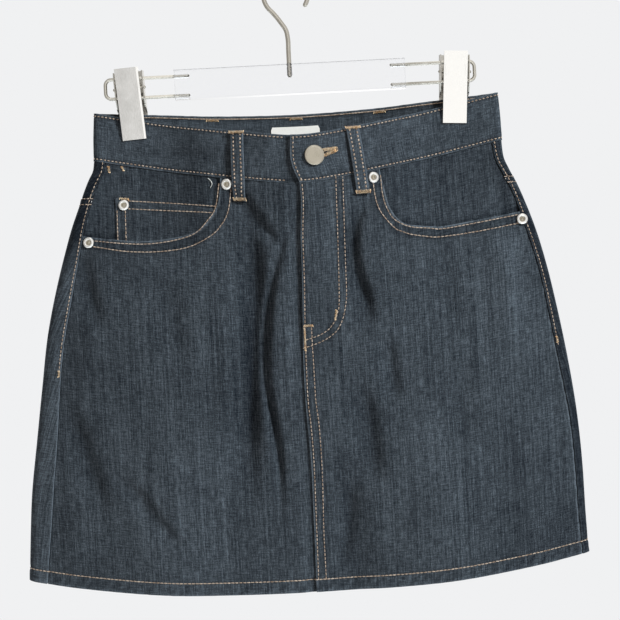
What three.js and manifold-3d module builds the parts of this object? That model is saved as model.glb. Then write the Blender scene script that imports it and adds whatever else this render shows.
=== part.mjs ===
// A short denim skirt hanging from a clip hanger, in millimetres, +Z up.
// The front faces -Y and +X is the viewer's right. The origin is the inside top of the hook's crown.
// A place on the skirt is given by x and by drop, the depth below the band's top edge at the sides.

import * as THREE from 'three';
import { mergeVertices } from 'three/addons/utils/BufferGeometryUtils.js';
import Module from 'manifold-3d';

const wasm = await Module();
wasm.setup();

// Driving dimensions of the skirt
const waistZ = -110;
const bandDrop = 40.5;
const hemDrop = 392.5;
const hemDepth = 11;
const cloth = 1.2;
const gap = 0.3;
const bandRise = 0.7;
const bandThickness = 2.6;
const hemRise = 0.3;
const hemThickness = 2.7;
const seamRise = 0.7;
const seamStrip = 8;
const yokeSideDrop = 69;
const yokeCentreDrop = 101;
const lapReach = 5;
const lapRun = 13;
const centreBackX = 3.4;
const foldEase = 40;
const ridgeRounding = 0.055;
const clipShare = 0.82;
const tentPower = 1.5;
const lensPower = 2.4;
const lensDrops = [20, 190];

// Fly, pockets and small pieces
const flyBottomDrop = 176;
const underlapReach = 34;
const underlapBend = [-24, -6];
const shieldReach = [-10, 38];
const shieldStand = 1.8;
const zipSizes = { tapeLeft: -3, tapeRight: 29, middle: 14, bottom: 166, chain: 2.5, slider: 4.2 };
const coinPocket = { left: -153, top: 66.8, beyond: { x: -40, drop: 130 } };
const loopWidth = 11;
const loopThickness = 1.8;
const loopTopDrop = 0.5;
const loopBottomDrop = 58.5;
const loopArch = 1.6;
const buttonPlace = { x: 16.7, drop: 18.7, radius: 8.5 };
const buttonholeEnd = { x: 35, drop: 16.5, eye: 3.5, slit: 0.7 };
const rivetRadius = 4.7;
const labelSize = { left: -18.6, right: 23.2, top: 8.7, bottom: 37, thickness: 0.6 };

// Hanger
const wireRadius = 2;
const crownRadius = 19;
const railRadius = 1.5;
const railDrops = [-82, -98.6];
const railEnd = 157;
const railBend = 5;
const railSeat = 11.5;
const bar = { length: 196, height: 26, depth: 12, top: -76.3, chamfer: 1 };
const stemSeat = 10;
const clip = { width: 20, backWidth: 25, length: 60, sheet: 1, topY: 13.5, jawY: 4.9, tilt: 3.4 };
const clipX = { left: -135.8, right: 139.3 };
const clipTopZ = -74.5;
const clampX = [-134.5, 138.0];
const heldOut = 2.9;
const holdReach = 62;
const holdDrops = [24, 125];

const finishes = {
  denim: { color: 0x3a434b, roughness: 0.9, metalness: 0 },
  label: { color: 0xeae9e4, roughness: 0.8, metalness: 0 },
  tape: { color: 0x2c3238, roughness: 0.9, metalness: 0 },
  satinMetal: { color: 0xb9b2a3, roughness: 0.35, metalness: 1 },
  wire: { color: 0xc8c4b8, roughness: 0.25, metalness: 1 },
  brushedSteel: { color: 0xc7c5c1, roughness: 0.4, metalness: 1 },
  acrylic: { color: 0xf5f5f7, roughness: 0.08, metalness: 0 },
};

// Tables: one list for each named column, a row for each height
function table(names, rows) {
  return Object.fromEntries(names.split(' ').map((name, k) => [name, rows.map((row) => row[k])]));
}

const outline = table('drop left right', [
  [0, -167.3, 175.2],
  [20, -168.8, 176.2],
  [42, -170.2, 176.8],
  [49, -171.5, 177.2],
  [56, -175.3, 178.2],
  [65, -179.4, 181.8],
  [78, -184.4, 187.8],
  [96, -191.6, 195.0],
  [118, -198.8, 202.2],
  [148, -207.6, 209.6],
  [185, -216.6, 216.6],
  [230, -223.8, 223.6],
  [275, -230.6, 228.8],
  [320, -237.2, 231.2],
  [360, -240.6, 231.6],
  [393, -242.8, 232.4],
]);

// How far the front and back stand out, how far their edges dip in the middle, and how round that is
const form = table('drop foldRadius frontOut backOut frontDip backDip dipPower', [
  [0, 5.0, 27, 9, 30.0, 8.5, 1.12],
  [40, 5.5, 27, 10, 29.6, 9.0, 1.15],
  [110, 7.0, 25, 12, 26.0, 10.0, 1.4],
  [200, 8.0, 22, 13, 23.0, 12.0, 1.8],
  [300, 9.0, 19, 13, 20.5, 13.0, 2.1],
  [393, 9.0, 17, 12, 19.0, 14.0, 2.3],
]);

const centreLine = table('drop ridge', [[0, 6], [40, 4.5], [110, 2], [393, 2]]);

// The lapped front edge: along the band, the fly and the centre front seam
const lapEdge = table('drop x', [
  [0, -2], [12, -2.8], [20, -2.8], [27, -1.4], [33, 0.7], [40, 3.4], [48, 4.0], [87, 2.2],
  [124, 1.6], [160, 0.3], [190, -0.8], [229, -1.0], [284, 1.0], [330, 0.8], [393, 0.2],
]);

const seamInset = table('drop left right', [
  [40, 9.8, 8.5],
  [75, 9.5, 7.0],
  [110, 12.8, 8.5],
  [150, 15.4, 8.0],
  [220, 16.2, 9.0],
  [285, 18.9, 7.5],
  [325, 19.6, 7.5],
  [393, 16.4, 6.5],
]);

// Pocket openings, from the band down and out to the side seam
const openings = {
  left: table('x drop', [
    [-62.5, 36], [-63.2, 49], [-66.2, 64], [-72.5, 75], [-83.5, 86.5], [-101, 93.6], [-125, 99],
    [-148, 101], [-172, 101.6], [-250, 102],
  ]),
  right: table('x drop', [
    [70.6, 36], [71.9, 46], [73.6, 55], [76.2, 68], [78.8, 76], [82.8, 83], [88, 88.6], [95, 92],
    [110, 96], [122, 98.4], [150, 99.4], [183, 100.4], [250, 102],
  ]),
};

// Soft troughs (depth above 0) and ridges (below 0) that run down the cloth: five places, evenly spaced
const folds = table('face top bottom x1 x2 x3 x4 x5 depth width', [
  ['front', 42, 250, -43, -32.5, -33, -37.5, -41, 4.5, 8],
  ['front', 62, 335, -7, -23.5, -30.5, -29.5, -24, 3.5, 5.5],
  ['front', 56, 170, 67, 51, 49, 57, 60, 3, 7],
  ['front', 100, 178, -187, -182, -178, -173, -168, 3, 10],
  ['front', 235, 335, -202, -193, -185, -178, -174, 2.5, 14],
  ['front', 100, 215, 178, 176, 175, 174, 174, -2.5, 14],
  ['front', 210, 305, 50, 53, 56, 58, 60, 2.5, 11],
  ['front', 230, 440, -108, -112, -116, -119, -121, -4, 42],
  ['front', 230, 440, 100, 106, 111, 115, 118, -4, 46],
  ['front', 240, 440, 28, 31, 33, 35, 36, 3, 20],
  ['back', 90, 300, -52, -46, -43, -42, -44, 4, 10],
  ['back', 110, 340, 40, 46, 50, 52, 51, 4.5, 12],
  ['back', 80, 230, 118, 124, 130, 135, 139, 3, 12],
  ['back', 220, 440, -112, -116, -120, -123, -125, -4.5, 40],
  ['back', 230, 440, 110, 114, 118, 121, 123, -4, 44],
]);

// Creases that run across the band
const bandCreases = table('face left right dropLeft dropRight depth width', [
  ['front', -168, -50, 29, 23, 1.3, 7],
  ['front', 60, 170, 25, 30, 0.9, 7],
  ['back', -150, -40, 26, 22, 1.0, 8],
]);

// Reads a column at any height by a smooth curve through its rows
function read(rows, name, at, key = 'drop') {
  const xs = rows[key];
  const ys = rows[name];
  const last = xs.length - 1;
  let i = 0;
  while (i < last - 1 && at > xs[i + 1]) i += 1;
  const slope = (k) => (ys[k + 1] - ys[k]) / (xs[k + 1] - xs[k]);
  const tangent = (k) => {
    if (k === 0) return slope(0);
    if (k === last) return slope(last - 1);
    const before = xs[k] - xs[k - 1];
    const after = xs[k + 1] - xs[k];
    return (slope(k - 1) * after + slope(k) * before) / (before + after);
  };
  if (at < xs[0]) return ys[0] + (at - xs[0]) * tangent(0);
  if (at > xs[last]) return ys[last] + (at - xs[last]) * tangent(last);
  const h = xs[i + 1] - xs[i];
  const t = (at - xs[i]) / h;
  const u = 1 - t;
  return u * u * (1 + 2 * t) * ys[i] + t * u * u * h * tangent(i)
    + t * t * (3 - 2 * t) * ys[i + 1] - t * t * u * h * tangent(i + 1);
}

const mix = THREE.MathUtils.lerp;
const smooth = (from, to, at) => THREE.MathUtils.smoothstep(at, from, to);

function foldX(side, drop) {
  return read(outline, side < 0 ? 'left' : 'right', drop);
}

// -1 at the left fold, 0 at the centre ridge and 1 at the right fold
function acrossShare(x, drop) {
  const ridge = read(centreLine, 'ridge', drop);
  return (x - ridge) / (x < ridge ? ridge - foldX(-1, drop) : foldX(1, drop) - ridge);
}

// The share's size, rounded off at the ridge
function roundedSize(share, rounding) {
  return (Math.hypot(share, rounding) - rounding) / (Math.hypot(1, rounding) - rounding);
}

function dip(face, x, drop) {
  const share = acrossShare(x, drop);
  if (face === 'back') return read(form, 'backDip', drop) * (1 - Math.abs(share) ** 1.8);
  const power = read(form, 'dipPower', drop);
  return read(form, 'frontDip', drop) * (1 - roundedSize(share, ridgeRounding) ** power);
}

// Between the clips the waist opens like a tent in front, and lower down the body is a flat lens
function bodyOut(face, x, drop) {
  const share = acrossShare(x, drop);
  const size = face === 'front' ? roundedSize(share, ridgeRounding) : Math.abs(share);
  const waist = Math.max(0, 1 - (size / clipShare) ** (face === 'front' ? 1 : 2)) ** tentPower;
  const lens = 1 - Math.abs(share) ** lensPower;
  return read(form, face + 'Out', drop) * mix(waist, lens, smooth(...lensDrops, drop));
}

function foldDepth(face, x, drop) {
  let depth = 0;
  folds.face.forEach((name, k) => {
    if (name !== face) return;
    const top = folds.top[k];
    const bottom = folds.bottom[k];
    const end = (bottom - top) * 0.35;
    const fade = smooth(top, top + end, drop) * (1 - smooth(bottom - end, bottom, drop));
    if (fade === 0) return;
    const places = table('at x', [1, 2, 3, 4, 5].map((n) => [n, folds['x' + n][k]]));
    const middle = read(places, 'x', 1 + 4 * (drop - top) / (bottom - top), 'at');
    depth += folds.depth[k] * fade * Math.exp(-(((x - middle) / folds.width[k]) ** 2));
  });
  bandCreases.face.forEach((name, k) => {
    const left = bandCreases.left[k];
    const right = bandCreases.right[k];
    if (name !== face || x < left || x > right) return;
    const run = (x - left) / (right - left);
    const middle = mix(bandCreases.dropLeft[k], bandCreases.dropRight[k], run);
    const fade = Math.sin(Math.PI * run);
    depth += bandCreases.depth[k] * fade * Math.exp(-(((drop - middle) / bandCreases.width[k]) ** 2));
  });
  return depth;
}

// How firmly a clip presses the two sides together
function clipHold(x, drop) {
  const nearest = Math.min(...clampX.map((middle) => Math.abs(x - middle)));
  return (1 - smooth(clip.width / 2 + 3, holdReach, nearest)) * (1 - smooth(...holdDrops, drop));
}

// A point of the outer face. s is the way round from a side fold: above 0 in front, below 0 behind.
function skin(side, s, drop) {
  const radius = read(form, 'foldRadius', drop);
  const arc = (Math.PI * radius) / 2;
  const way = Math.abs(s);
  const inset = way < arc ? radius * (1 - Math.cos(way / radius)) : radius + way - arc;
  const stand = way < arc ? radius * Math.sin(way / radius) : radius;
  const x = foldX(side, drop) - side * inset;
  const face = s >= 0 ? 'front' : 'back';
  const out = (bodyOut(face, x, drop) - foldDepth(face, x, drop)) * smooth(0, foldEase, inset);
  const hold = clipHold(x, drop);
  const y = mix(stand + out, heldOut * stand / radius, hold);
  return new THREE.Vector3(x, s >= 0 ? -y : y, waistZ - drop - dip(face, x, drop));
}

function outward(side, s, drop) {
  const step = 0.5;
  const round = skin(side, s + step, drop).sub(skin(side, s - step, drop));
  const down = skin(side, s, drop + step).sub(skin(side, s, drop - step));
  const normal = side < 0 ? down.cross(round) : round.cross(down);
  return normal.normalize();
}

function place(side, s, drop, lift) {
  return skin(side, s, drop).addScaledVector(outward(side, s, drop), lift);
}

// The way round from a side fold to a given x
function wayTo(side, x, drop) {
  const radius = read(form, 'foldRadius', drop);
  const inset = Math.max(0, side * (foldX(side, drop) - x));
  if (inset < radius) return radius * Math.acos(1 - inset / radius);
  return (Math.PI * radius) / 2 + inset - radius;
}

function onFront(x, drop, lift) {
  const side = x < read(centreLine, 'ridge', drop) ? -1 : 1;
  return place(side, wayTo(side, x, drop), drop, lift);
}

function seamWay(side, drop) {
  const inset = read(seamInset, side < 0 ? 'left' : 'right', drop);
  return wayTo(side, foldX(side, drop) - side * inset, drop);
}

const arcWay = (drop) => (Math.PI * read(form, 'foldRadius', drop)) / 2;
const backCentreWay = (side, drop) => -wayTo(side, centreBackX, drop);

const skirt = new THREE.Group();

function add(name, geometry, finish) {
  const mesh = new THREE.Mesh(geometry, new THREE.MeshStandardMaterial(finishes[finish]));
  mesh.name = name;
  skirt.add(mesh);
  return mesh;
}

function toSolid(geometry) {
  const bare = geometry.clone();
  bare.deleteAttribute('normal');
  bare.deleteAttribute('uv');
  const merged = mergeVertices(bare, 1e-4);
  const vertProperties = new Float32Array(merged.attributes.position.array);
  const triVerts = new Uint32Array(merged.index.array);
  return new wasm.Manifold(new wasm.Mesh({ numProp: 3, vertProperties, triVerts }));
}

function fromSolid(solid) {
  const mesh = solid.getMesh();
  const geometry = new THREE.BufferGeometry();
  geometry.setAttribute('position', new THREE.BufferAttribute(mesh.vertProperties, 3));
  geometry.setIndex(new THREE.BufferAttribute(mesh.triVerts, 1));
  geometry.computeVertexNormals();
  return geometry;
}

// A closed wall from a grid of rows down the cloth and columns round it.
// Each run is { side, from, to, steps }, and its ends are ways round that depend on the drop. A run
// whose used is given stops after that many steps.
function wall({ drops, runs, dropAt = (drop) => drop, outer, inner }) {
  const columns = [];
  runs.forEach((run, r) => {
    const last = run.used ?? run.steps;
    for (let k = r === 0 ? 0 : 1; k <= last; k += 1) columns.push({ run, share: k / run.steps });
  });
  const wide = columns.length;
  const points = [];
  drops.forEach((row) => {
    columns.forEach(({ run, share }, k) => {
      const drop = dropAt(row, k / (wide - 1));
      const s = mix(run.from(drop), run.to(drop), share);
      const x = skin(run.side, s, drop).x;
      points.push(place(run.side, s, drop, outer({ x, drop, s, side: run.side })));
      points.push(place(run.side, s, drop, inner({ x, drop, s, side: run.side })));
    });
  });
  const index = [];
  const quad = (a, b, c, d) => index.push(a, b, c, a, c, d);
  const at = (i, k, layer) => (i * wide + k) * 2 + layer;
  const lastRow = drops.length - 1;
  for (let i = 0; i < lastRow; i += 1) {
    for (let k = 0; k < wide - 1; k += 1) {
      quad(at(i, k, 0), at(i, k + 1, 0), at(i + 1, k + 1, 0), at(i + 1, k, 0));
      quad(at(i, k, 1), at(i + 1, k, 1), at(i + 1, k + 1, 1), at(i, k + 1, 1));
    }
    quad(at(i, 0, 1), at(i, 0, 0), at(i + 1, 0, 0), at(i + 1, 0, 1));
    quad(at(i, wide - 1, 0), at(i, wide - 1, 1), at(i + 1, wide - 1, 1), at(i + 1, wide - 1, 0));
  }
  for (let k = 0; k < wide - 1; k += 1) {
    quad(at(0, k, 1), at(0, k + 1, 1), at(0, k + 1, 0), at(0, k, 0));
    quad(at(lastRow, k, 0), at(lastRow, k + 1, 0), at(lastRow, k + 1, 1), at(lastRow, k, 1));
  }
  const thick = points[0].clone().sub(points[1]);
  const corner = points[at(0, 1, 0)].clone().sub(points[0]);
  const down = points[at(1, 0, 0)].clone().sub(points[0]);
  if (corner.cross(down).dot(thick) < 0) index.reverse();
  const geometry = new THREE.BufferGeometry().setFromPoints(points);
  geometry.setIndex(index);
  geometry.computeVertexNormals();
  return geometry;
}

function steps(from, to, count) {
  return Array.from({ length: count + 1 }, (_, k) => mix(from, to, k / count));
}

// A bar that runs through the front along Y, over an outline of x and drop places
function cutter(places) {
  const nearY = -90;
  const shape = new THREE.Shape(places.map(({ x, drop }) => {
    const point = skin(-1, wayTo(-1, x, drop), drop);
    return new THREE.Vector2(x, point.z);
  }));
  const geometry = new THREE.ExtrudeGeometry(shape, { depth: -nearY, bevelEnabled: false });
  geometry.rotateX(Math.PI / 2);
  return toSolid(geometry);
}

// The pocket opening between its curve, the band and the side seam, shrunk by an inset
function openingPlaces(side, inset) {
  const curve = openings[side < 0 ? 'left' : 'right'];
  const places = curve.x.map((x, k) => {
    const before = Math.max(0, k - 1);
    const after = Math.min(curve.x.length - 1, k + 1);
    const way = new THREE.Vector2(curve.x[after] - curve.x[before], curve.drop[after] - curve.drop[before]);
    way.normalize();
    return { x: x + side * way.y * inset, drop: curve.drop[k] - side * way.x * inset };
  });
  const farX = curve.x.at(-1);
  const aboveBand = bandDrop - 10;
  return [...places, { x: farX, drop: aboveBand }, { x: places[0].x, drop: aboveBand }];
}

const hemTop = hemDrop - hemDepth;
const hemStep = 0.6;
const inHem = (drop) => drop > hemTop + hemStep / 2;
const pocketDrops = steps(bandDrop + gap, 120, 7);
const panelDrops = [...pocketDrops, ...steps(135, hemTop, 15), hemTop + hemStep, hemDrop];
const frontColumns = 21;
const facingColumns = 15;
const panelInner = ({ drop }) => (inHem(drop) ? hemRise - hemThickness : -cloth);
const hemLift = (drop) => (inHem(drop) ? hemRise : 0);

// The left front sinks under the lapped edge
function lapSink(x, drop) {
  const edge = read(lapEdge, 'x', drop);
  return -(cloth + 2 * gap + hemLift(drop) * 2) * smooth(edge - lapRun, edge - 3, x);
}

// The front's columns, from the side seam to the centre
function frontRun(side, used) {
  const lap = side < 0 ? lapReach : 0;
  return {
    side,
    from: (drop) => seamWay(side, drop) + gap / 2,
    to: (drop) => wayTo(side, read(lapEdge, 'x', drop) + lap, drop),
    steps: frontColumns,
    used,
  };
}

function frontPanels() {
  const left = wall({
    drops: panelDrops,
    runs: [frontRun(-1)],
    outer: ({ x, drop }) => hemLift(drop) + lapSink(x, drop),
    inner: ({ x, drop }) => panelInner({ drop }) + lapSink(x, drop),
  });
  const right = wall({
    drops: panelDrops,
    runs: [frontRun(1)],
    outer: ({ drop }) => hemLift(drop),
    inner: ({ x, drop }) => {
      const overLap = x < read(lapEdge, 'x', drop) + lapReach + 2;
      return overLap ? hemLift(drop) - cloth : panelInner({ drop });
    },
  });
  const cut = (panel, side) => fromSolid(toSolid(panel).subtract(cutter(openingPlaces(side, 0))));
  add('front_left', cut(left, -1), 'denim');
  add('front_right', cut(right, 1), 'denim');
}

// Facings lie a layer behind the fronts, flush where they meet the band and the side seam
const facingSink = cloth + gap;

function pocketPieces() {
  [['left', -1], ['right', 1]].forEach(([name, side]) => {
    const facing = wall({
      drops: pocketDrops,
      runs: [frontRun(side, facingColumns)],
      outer: () => -facingSink,
      inner: () => -facingSink - cloth,
    });
    add('pocket_facing_' + name, facing, 'denim');
  });
  const coin = wall({
    drops: pocketDrops,
    runs: [frontRun(-1, facingColumns)],
    outer: () => -gap / 2,
    inner: () => -facingSink + gap,
  });
  const { left, top, beyond } = coinPocket;
  const corners = [[left, top], [left, beyond.drop], [beyond.x, beyond.drop], [beyond.x, top]];
  const block = cutter(corners.map(([x, drop]) => ({ x, drop })));
  const shape = cutter(openingPlaces(-1, gap)).intersect(block);
  add('coin_pocket', fromSolid(toSolid(coin).intersect(shape)), 'denim');
}

function backRuns(side) {
  return [
    { side, from: (drop) => seamWay(side, drop) - gap / 2, to: (drop) => -arcWay(drop), steps: 7 },
    {
      side,
      from: (drop) => -arcWay(drop),
      to: (drop) => backCentreWay(side, drop) + gap / 2,
      steps: 13,
    },
  ];
}

const yokeDrop = (share) => mix(yokeSideDrop, yokeCentreDrop, share);
const seamLift = ({ s, side, drop }) => (s > seamWay(side, drop) - seamStrip ? seamRise : 0);

function backPanels() {
  [['left', -1], ['right', 1]].forEach(([name, side]) => {
    const yoke = wall({
      drops: steps(0, 1, 2),
      dropAt: (row, share) => mix(bandDrop + gap, yokeDrop(share) - gap / 2, row),
      runs: backRuns(side),
      outer: seamLift,
      inner: () => -cloth,
    });
    add('yoke_' + name, yoke, 'denim');
    const rows = [...steps(0, 1, 14).map((t) => ({ t })), { drop: hemTop + hemStep }, { drop: hemDrop }];
    const back = wall({
      drops: rows,
      dropAt: (row, share) => row.drop ?? mix(yokeDrop(share) + gap / 2, hemTop, row.t),
      runs: backRuns(side),
      outer: (at) => Math.max(seamLift(at), hemLift(at.drop)),
      inner: panelInner,
    });
    add('back_' + name, back, 'denim');
  });
}

// The band runs from its hidden end under the lap, round the left side and the back, to the lapped end
function waistband() {
  const drops = [0, 13, 21, 27, 33, bandDrop];
  const sink = bandThickness + gap;
  const join = 1;
  const under = ({ x, s, side }) => (side < 0 && s > 0 ? -sink * smooth(...underlapBend, x) : 0);
  const outer = (at) => bandRise + under(at);
  const inner = (at) => bandRise - bandThickness + under(at);
  const left = wall({
    drops,
    runs: [
      { side: -1, from: (drop) => wayTo(-1, underlapReach, drop), to: arcWay, steps: 20 },
      { side: -1, from: arcWay, to: (drop) => -arcWay(drop), steps: 6 },
      { side: -1, from: (drop) => -arcWay(drop), to: (drop) => backCentreWay(-1, drop), steps: 11 },
    ],
    outer,
    inner,
  });
  const right = wall({
    drops,
    runs: [
      { side: 1, from: (drop) => backCentreWay(1, drop) - join, to: (drop) => -arcWay(drop), steps: 11 },
      { side: 1, from: (drop) => -arcWay(drop), to: arcWay, steps: 6 },
      { side: 1, from: arcWay, to: (drop) => wayTo(1, read(lapEdge, 'x', drop), drop), steps: 18 },
    ],
    outer,
    inner,
  });
  const lapped = toSolid(right).subtract(buttonhole());
  add('waistband', fromSolid(toSolid(left).add(lapped)), 'denim');
}

// A frame on the front of the band at the button: its z axis stands out of the cloth
function frameOnFront({ x, drop }, lift) {
  const side = x < read(centreLine, 'ridge', drop) ? -1 : 1;
  const normal = outward(side, wayTo(side, x, drop), drop);
  const turn = new THREE.Quaternion().setFromUnitVectors(new THREE.Vector3(0, 0, 1), normal);
  const at = onFront(x, drop, lift);
  return new THREE.Matrix4().compose(at, turn, new THREE.Vector3(1, 1, 1));
}

// A keyhole: a round eye at the button's shank and a slit towards the viewer's right
function buttonhole() {
  const frame = frameOnFront(buttonPlace, 0);
  const { x, drop, eye, slit } = buttonholeEnd;
  const depth = 16;
  const end = onFront(x, drop, 0).applyMatrix4(frame.clone().invert());
  const way = Math.atan2(end.y, end.x);
  const open = Math.asin(slit / eye);
  const shape = new THREE.Shape();
  shape.absarc(0, 0, eye, way + open, way - open + 2 * Math.PI, false);
  const along = new THREE.Vector2(Math.cos(way), Math.sin(way)).multiplyScalar(Math.hypot(end.x, end.y));
  const off = new THREE.Vector2(-Math.sin(way), Math.cos(way)).multiplyScalar(slit);
  shape.lineTo(along.x - off.x, along.y - off.y);
  shape.lineTo(along.x + off.x, along.y + off.y);
  const bore = new THREE.ExtrudeGeometry(shape, { depth, bevelEnabled: false, curveSegments: 16 });
  bore.translate(0, 0, -depth / 2 - 1);
  bore.applyMatrix4(frame);
  return toSolid(bore);
}

function turned(profile, segments) {
  const points = profile.map(([radius, height]) => new THREE.Vector2(radius, height));
  const geometry = new THREE.LatheGeometry(points, segments);
  geometry.rotateX(Math.PI / 2);
  return geometry;
}

function fastenings() {
  const r = buttonPlace.radius;
  const underlapTop = -bandThickness - 0.1;
  const button = turned([
    [0, underlapTop + 0.2], [3, underlapTop + 0.2], [3, 0.7], [r - 0.5, 0.7], [r, 1.2], [r, 1.9],
    [r - 0.5, 2.6], [r - 1.2, 2.7], [r - 1.7, 2.4], [0, 2.5],
  ], 20);
  button.applyMatrix4(frameOnFront(buttonPlace, bandRise));
  add('button', button, 'satinMetal');

  const rivets = table('x drop lift', [
    [-57.4, 45.6, 0.5],
    [-177.0, 106.2, 0.35],
    [-146.0, 72.4, 0.3],
    [65.6, 46.4, 0.35],
    [189.8, 107.0, 1.1],
  ]);
  rivets.x.forEach((x, k) => {
    const cap = turned([
      [0, 0], [rivetRadius, 0], [rivetRadius, 0.5], [rivetRadius - 0.6, 1.3], [3.0, 1.6], [2.4, 1.3],
      [2.0, 0.8], [0.9, 0.8], [0.5, 1.2], [0, 1.2],
    ], 12);
    cap.applyMatrix4(frameOnFront({ x, drop: rivets.drop[k] }, rivets.lift[k]));
    add('rivet_' + (k + 1), cap, 'satinMetal');
  });
}

// Each loop arches a little off the band, so that a belt can pass
function beltLoops() {
  const loops = table('name face top bottom', [
    ['front_left', 'front', -46.2, -46.9],
    ['front_right', 'front', 49.4, 56.0],
    ['back_left', 'back', -68.4, -70.5],
    ['back_centre', 'back', 3.4, 3.4],
    ['back_right', 'back', 75.2, 77.3],
  ]);
  loops.name.forEach((name, k) => {
    const middle = (drop) => mix(loops.top[k], loops.bottom[k], drop / loopBottomDrop);
    const side = loops.top[k] < 0 ? -1 : 1;
    const sign = loops.face[k] === 'front' ? 1 : -1;
    const way = (edge) => (drop) => sign * wayTo(side, middle(drop) - side * sign * edge * loopWidth / 2, drop);
    const under = ({ drop }) => {
      const share = drop / loopBottomDrop;
      return mix(bandRise, 0, smooth(0.7, 1, share)) + gap + loopArch * Math.sin(Math.PI * share) ** 0.7;
    };
    const loop = wall({
      drops: steps(loopTopDrop, loopBottomDrop, 8),
      runs: [{ side, from: way(-1), to: way(1), steps: 2 }],
      outer: (at) => under(at) + loopThickness,
      inner: under,
    });
    add('belt_loop_' + name, loop, 'denim');
  });
}

// What closes the front behind the fly: a shield of cloth, and a zip with its slider at the top
function flyClosure() {
  const tapeLift = -cloth * 2 - gap * 4;
  const shieldLift = tapeLift - shieldStand;
  const front = (x) => (drop) => wayTo(-1, x, drop);
  const shield = wall({
    drops: steps(bandDrop + gap + 0.2, flyBottomDrop, 9),
    runs: [{ side: -1, from: front(shieldReach[0]), to: front(shieldReach[1]), steps: 5 }],
    outer: () => shieldLift,
    inner: () => shieldLift - cloth,
  });
  add('fly_shield', shield, 'denim');
  const { tapeLeft, tapeRight, middle, bottom, chain, slider } = zipSizes;
  const top = bandDrop + 1;
  const strip = ({ left, right, from, to, high, low, rows }) => toSolid(wall({
    drops: steps(from, to, rows),
    runs: [{ side: -1, from: front(left), to: front(right), steps: 2 }],
    outer: () => tapeLift + high,
    inner: () => tapeLift - low,
  }));
  const about = (half) => ({ left: middle - half, right: middle + half });
  const tapes = strip({ left: tapeLeft, right: tapeRight, from: top, to: bottom, high: 0, low: 0.6, rows: 6 });
  const teeth = strip({ ...about(chain), from: top, to: bottom - 2, high: 0.7, low: 1.2, rows: 6 });
  const body = strip({ ...about(slider), from: top + 2, to: top + 12, high: 1.3, low: 1.5, rows: 1 });
  const tab = strip({ ...about(chain), from: top + 4, to: top + 30, high: 1.5, low: -1.05, rows: 2 });
  add('zip', fromSolid(tapes.add(teeth).add(body).add(tab)), 'tape');
}

function label() {
  const { left, right, top, bottom, thickness } = labelSize;
  const lift = bandRise - bandThickness - gap;
  const back = (x) => (drop) => -wayTo(-1, x, drop);
  const patch = wall({
    drops: steps(top, bottom, 3),
    runs: [{ side: -1, from: back(left), to: back(right), steps: 4 }],
    outer: () => lift,
    inner: () => lift - thickness,
  });
  add('label', patch, 'label');
}

// A round rod along a route of points
function rod(route, radius, sides, pieces) {
  const shape = new THREE.Shape();
  shape.absarc(0, 0, radius, 0, 2 * Math.PI, false);
  const path = new THREE.CatmullRomCurve3(route, false, 'centripetal');
  const options = { steps: pieces, bevelEnabled: false, extrudePath: path, curveSegments: sides / 2 };
  return new THREE.ExtrudeGeometry(shape, options);
}

function arcRoute(centreX, centreZ, radius, fromDegrees, toDegrees, count) {
  return steps(fromDegrees, toDegrees, count).map((degrees) => {
    const angle = THREE.MathUtils.degToRad(degrees);
    return new THREE.Vector3(centreX + radius * Math.cos(angle), 0, centreZ + radius * Math.sin(angle));
  });
}

function hook() {
  const crownZ = wireRadius - crownRadius;
  const stemFoot = bar.top - stemSeat;
  const route = [
    new THREE.Vector3(0, 0, stemFoot),
    new THREE.Vector3(0, 0, -66),
    new THREE.Vector3(0, 0, -55),
    new THREE.Vector3(-1.2, 0, -47.8),
    new THREE.Vector3(-5.2, 0, -41),
    ...arcRoute(0, crownZ, crownRadius, 228, -32, 20),
  ];
  add('hanger_hook', rod(route, wireRadius, 8, 42), 'wire');
}

// A U of wire: two rails out of the bar's end, joined by a square bend beyond the clip
function railRoute(side) {
  const [upper, lower] = railDrops;
  const inside = side * (bar.length / 2 - railSeat);
  const outside = side * railEnd;
  const corner = side * (railEnd - railBend);
  const bend = (centreZ, from, to) => arcRoute(corner, centreZ, railBend, from, to, 5);
  const straight = (z) => [0, 0.5, 0.96].map((t) => new THREE.Vector3(mix(inside, corner, t), 0, z));
  const [first, last] = side > 0 ? [90, 0] : [90, 180];
  return [
    ...straight(upper),
    ...bend(upper - railBend, first, last),
    new THREE.Vector3(outside, 0, (upper + lower) / 2),
    ...bend(lower + railBend, last, side > 0 ? -90 : 270),
    ...straight(lower).reverse(),
  ];
}

function roundBore(fromX, toX, z, radius) {
  const bore = new THREE.CylinderGeometry(radius, radius, Math.abs(toX - fromX), 10);
  bore.rotateZ(Math.PI / 2);
  bore.translate((fromX + toX) / 2, 0, z);
  return toSolid(bore);
}

function hangerBar() {
  const { length, height, depth, top, chamfer } = bar;
  const a = depth / 2;
  const b = height / 2;
  const shape = new THREE.Shape([
    [-a + chamfer, -b], [a - chamfer, -b], [a, -b + chamfer], [a, b - chamfer],
    [a - chamfer, b], [-a + chamfer, b], [-a, b - chamfer], [-a, -b + chamfer],
  ].map(([y, z]) => new THREE.Vector2(y, z)));
  const body = new THREE.ExtrudeGeometry(shape, { depth: length, bevelEnabled: false });
  body.rotateX(Math.PI / 2);
  body.rotateZ(Math.PI / 2);
  body.translate(-length / 2, 0, top - b);
  let solid = toSolid(body);
  [-1, 1].forEach((side) => railDrops.forEach((z) => {
    const inside = side * (length / 2 - railSeat - gap);
    solid = solid.subtract(roundBore(inside, side * (length / 2 + 1), z, railRadius + gap));
  }));
  const stem = new THREE.CylinderGeometry(wireRadius + gap, wireRadius + gap, stemSeat + gap + 1, 16);
  stem.rotateX(Math.PI / 2);
  stem.translate(0, 0, top - (stemSeat + gap - 1) / 2);
  add('hanger_bar', fromSolid(solid.subtract(toSolid(stem))), 'acrylic');
}

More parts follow.
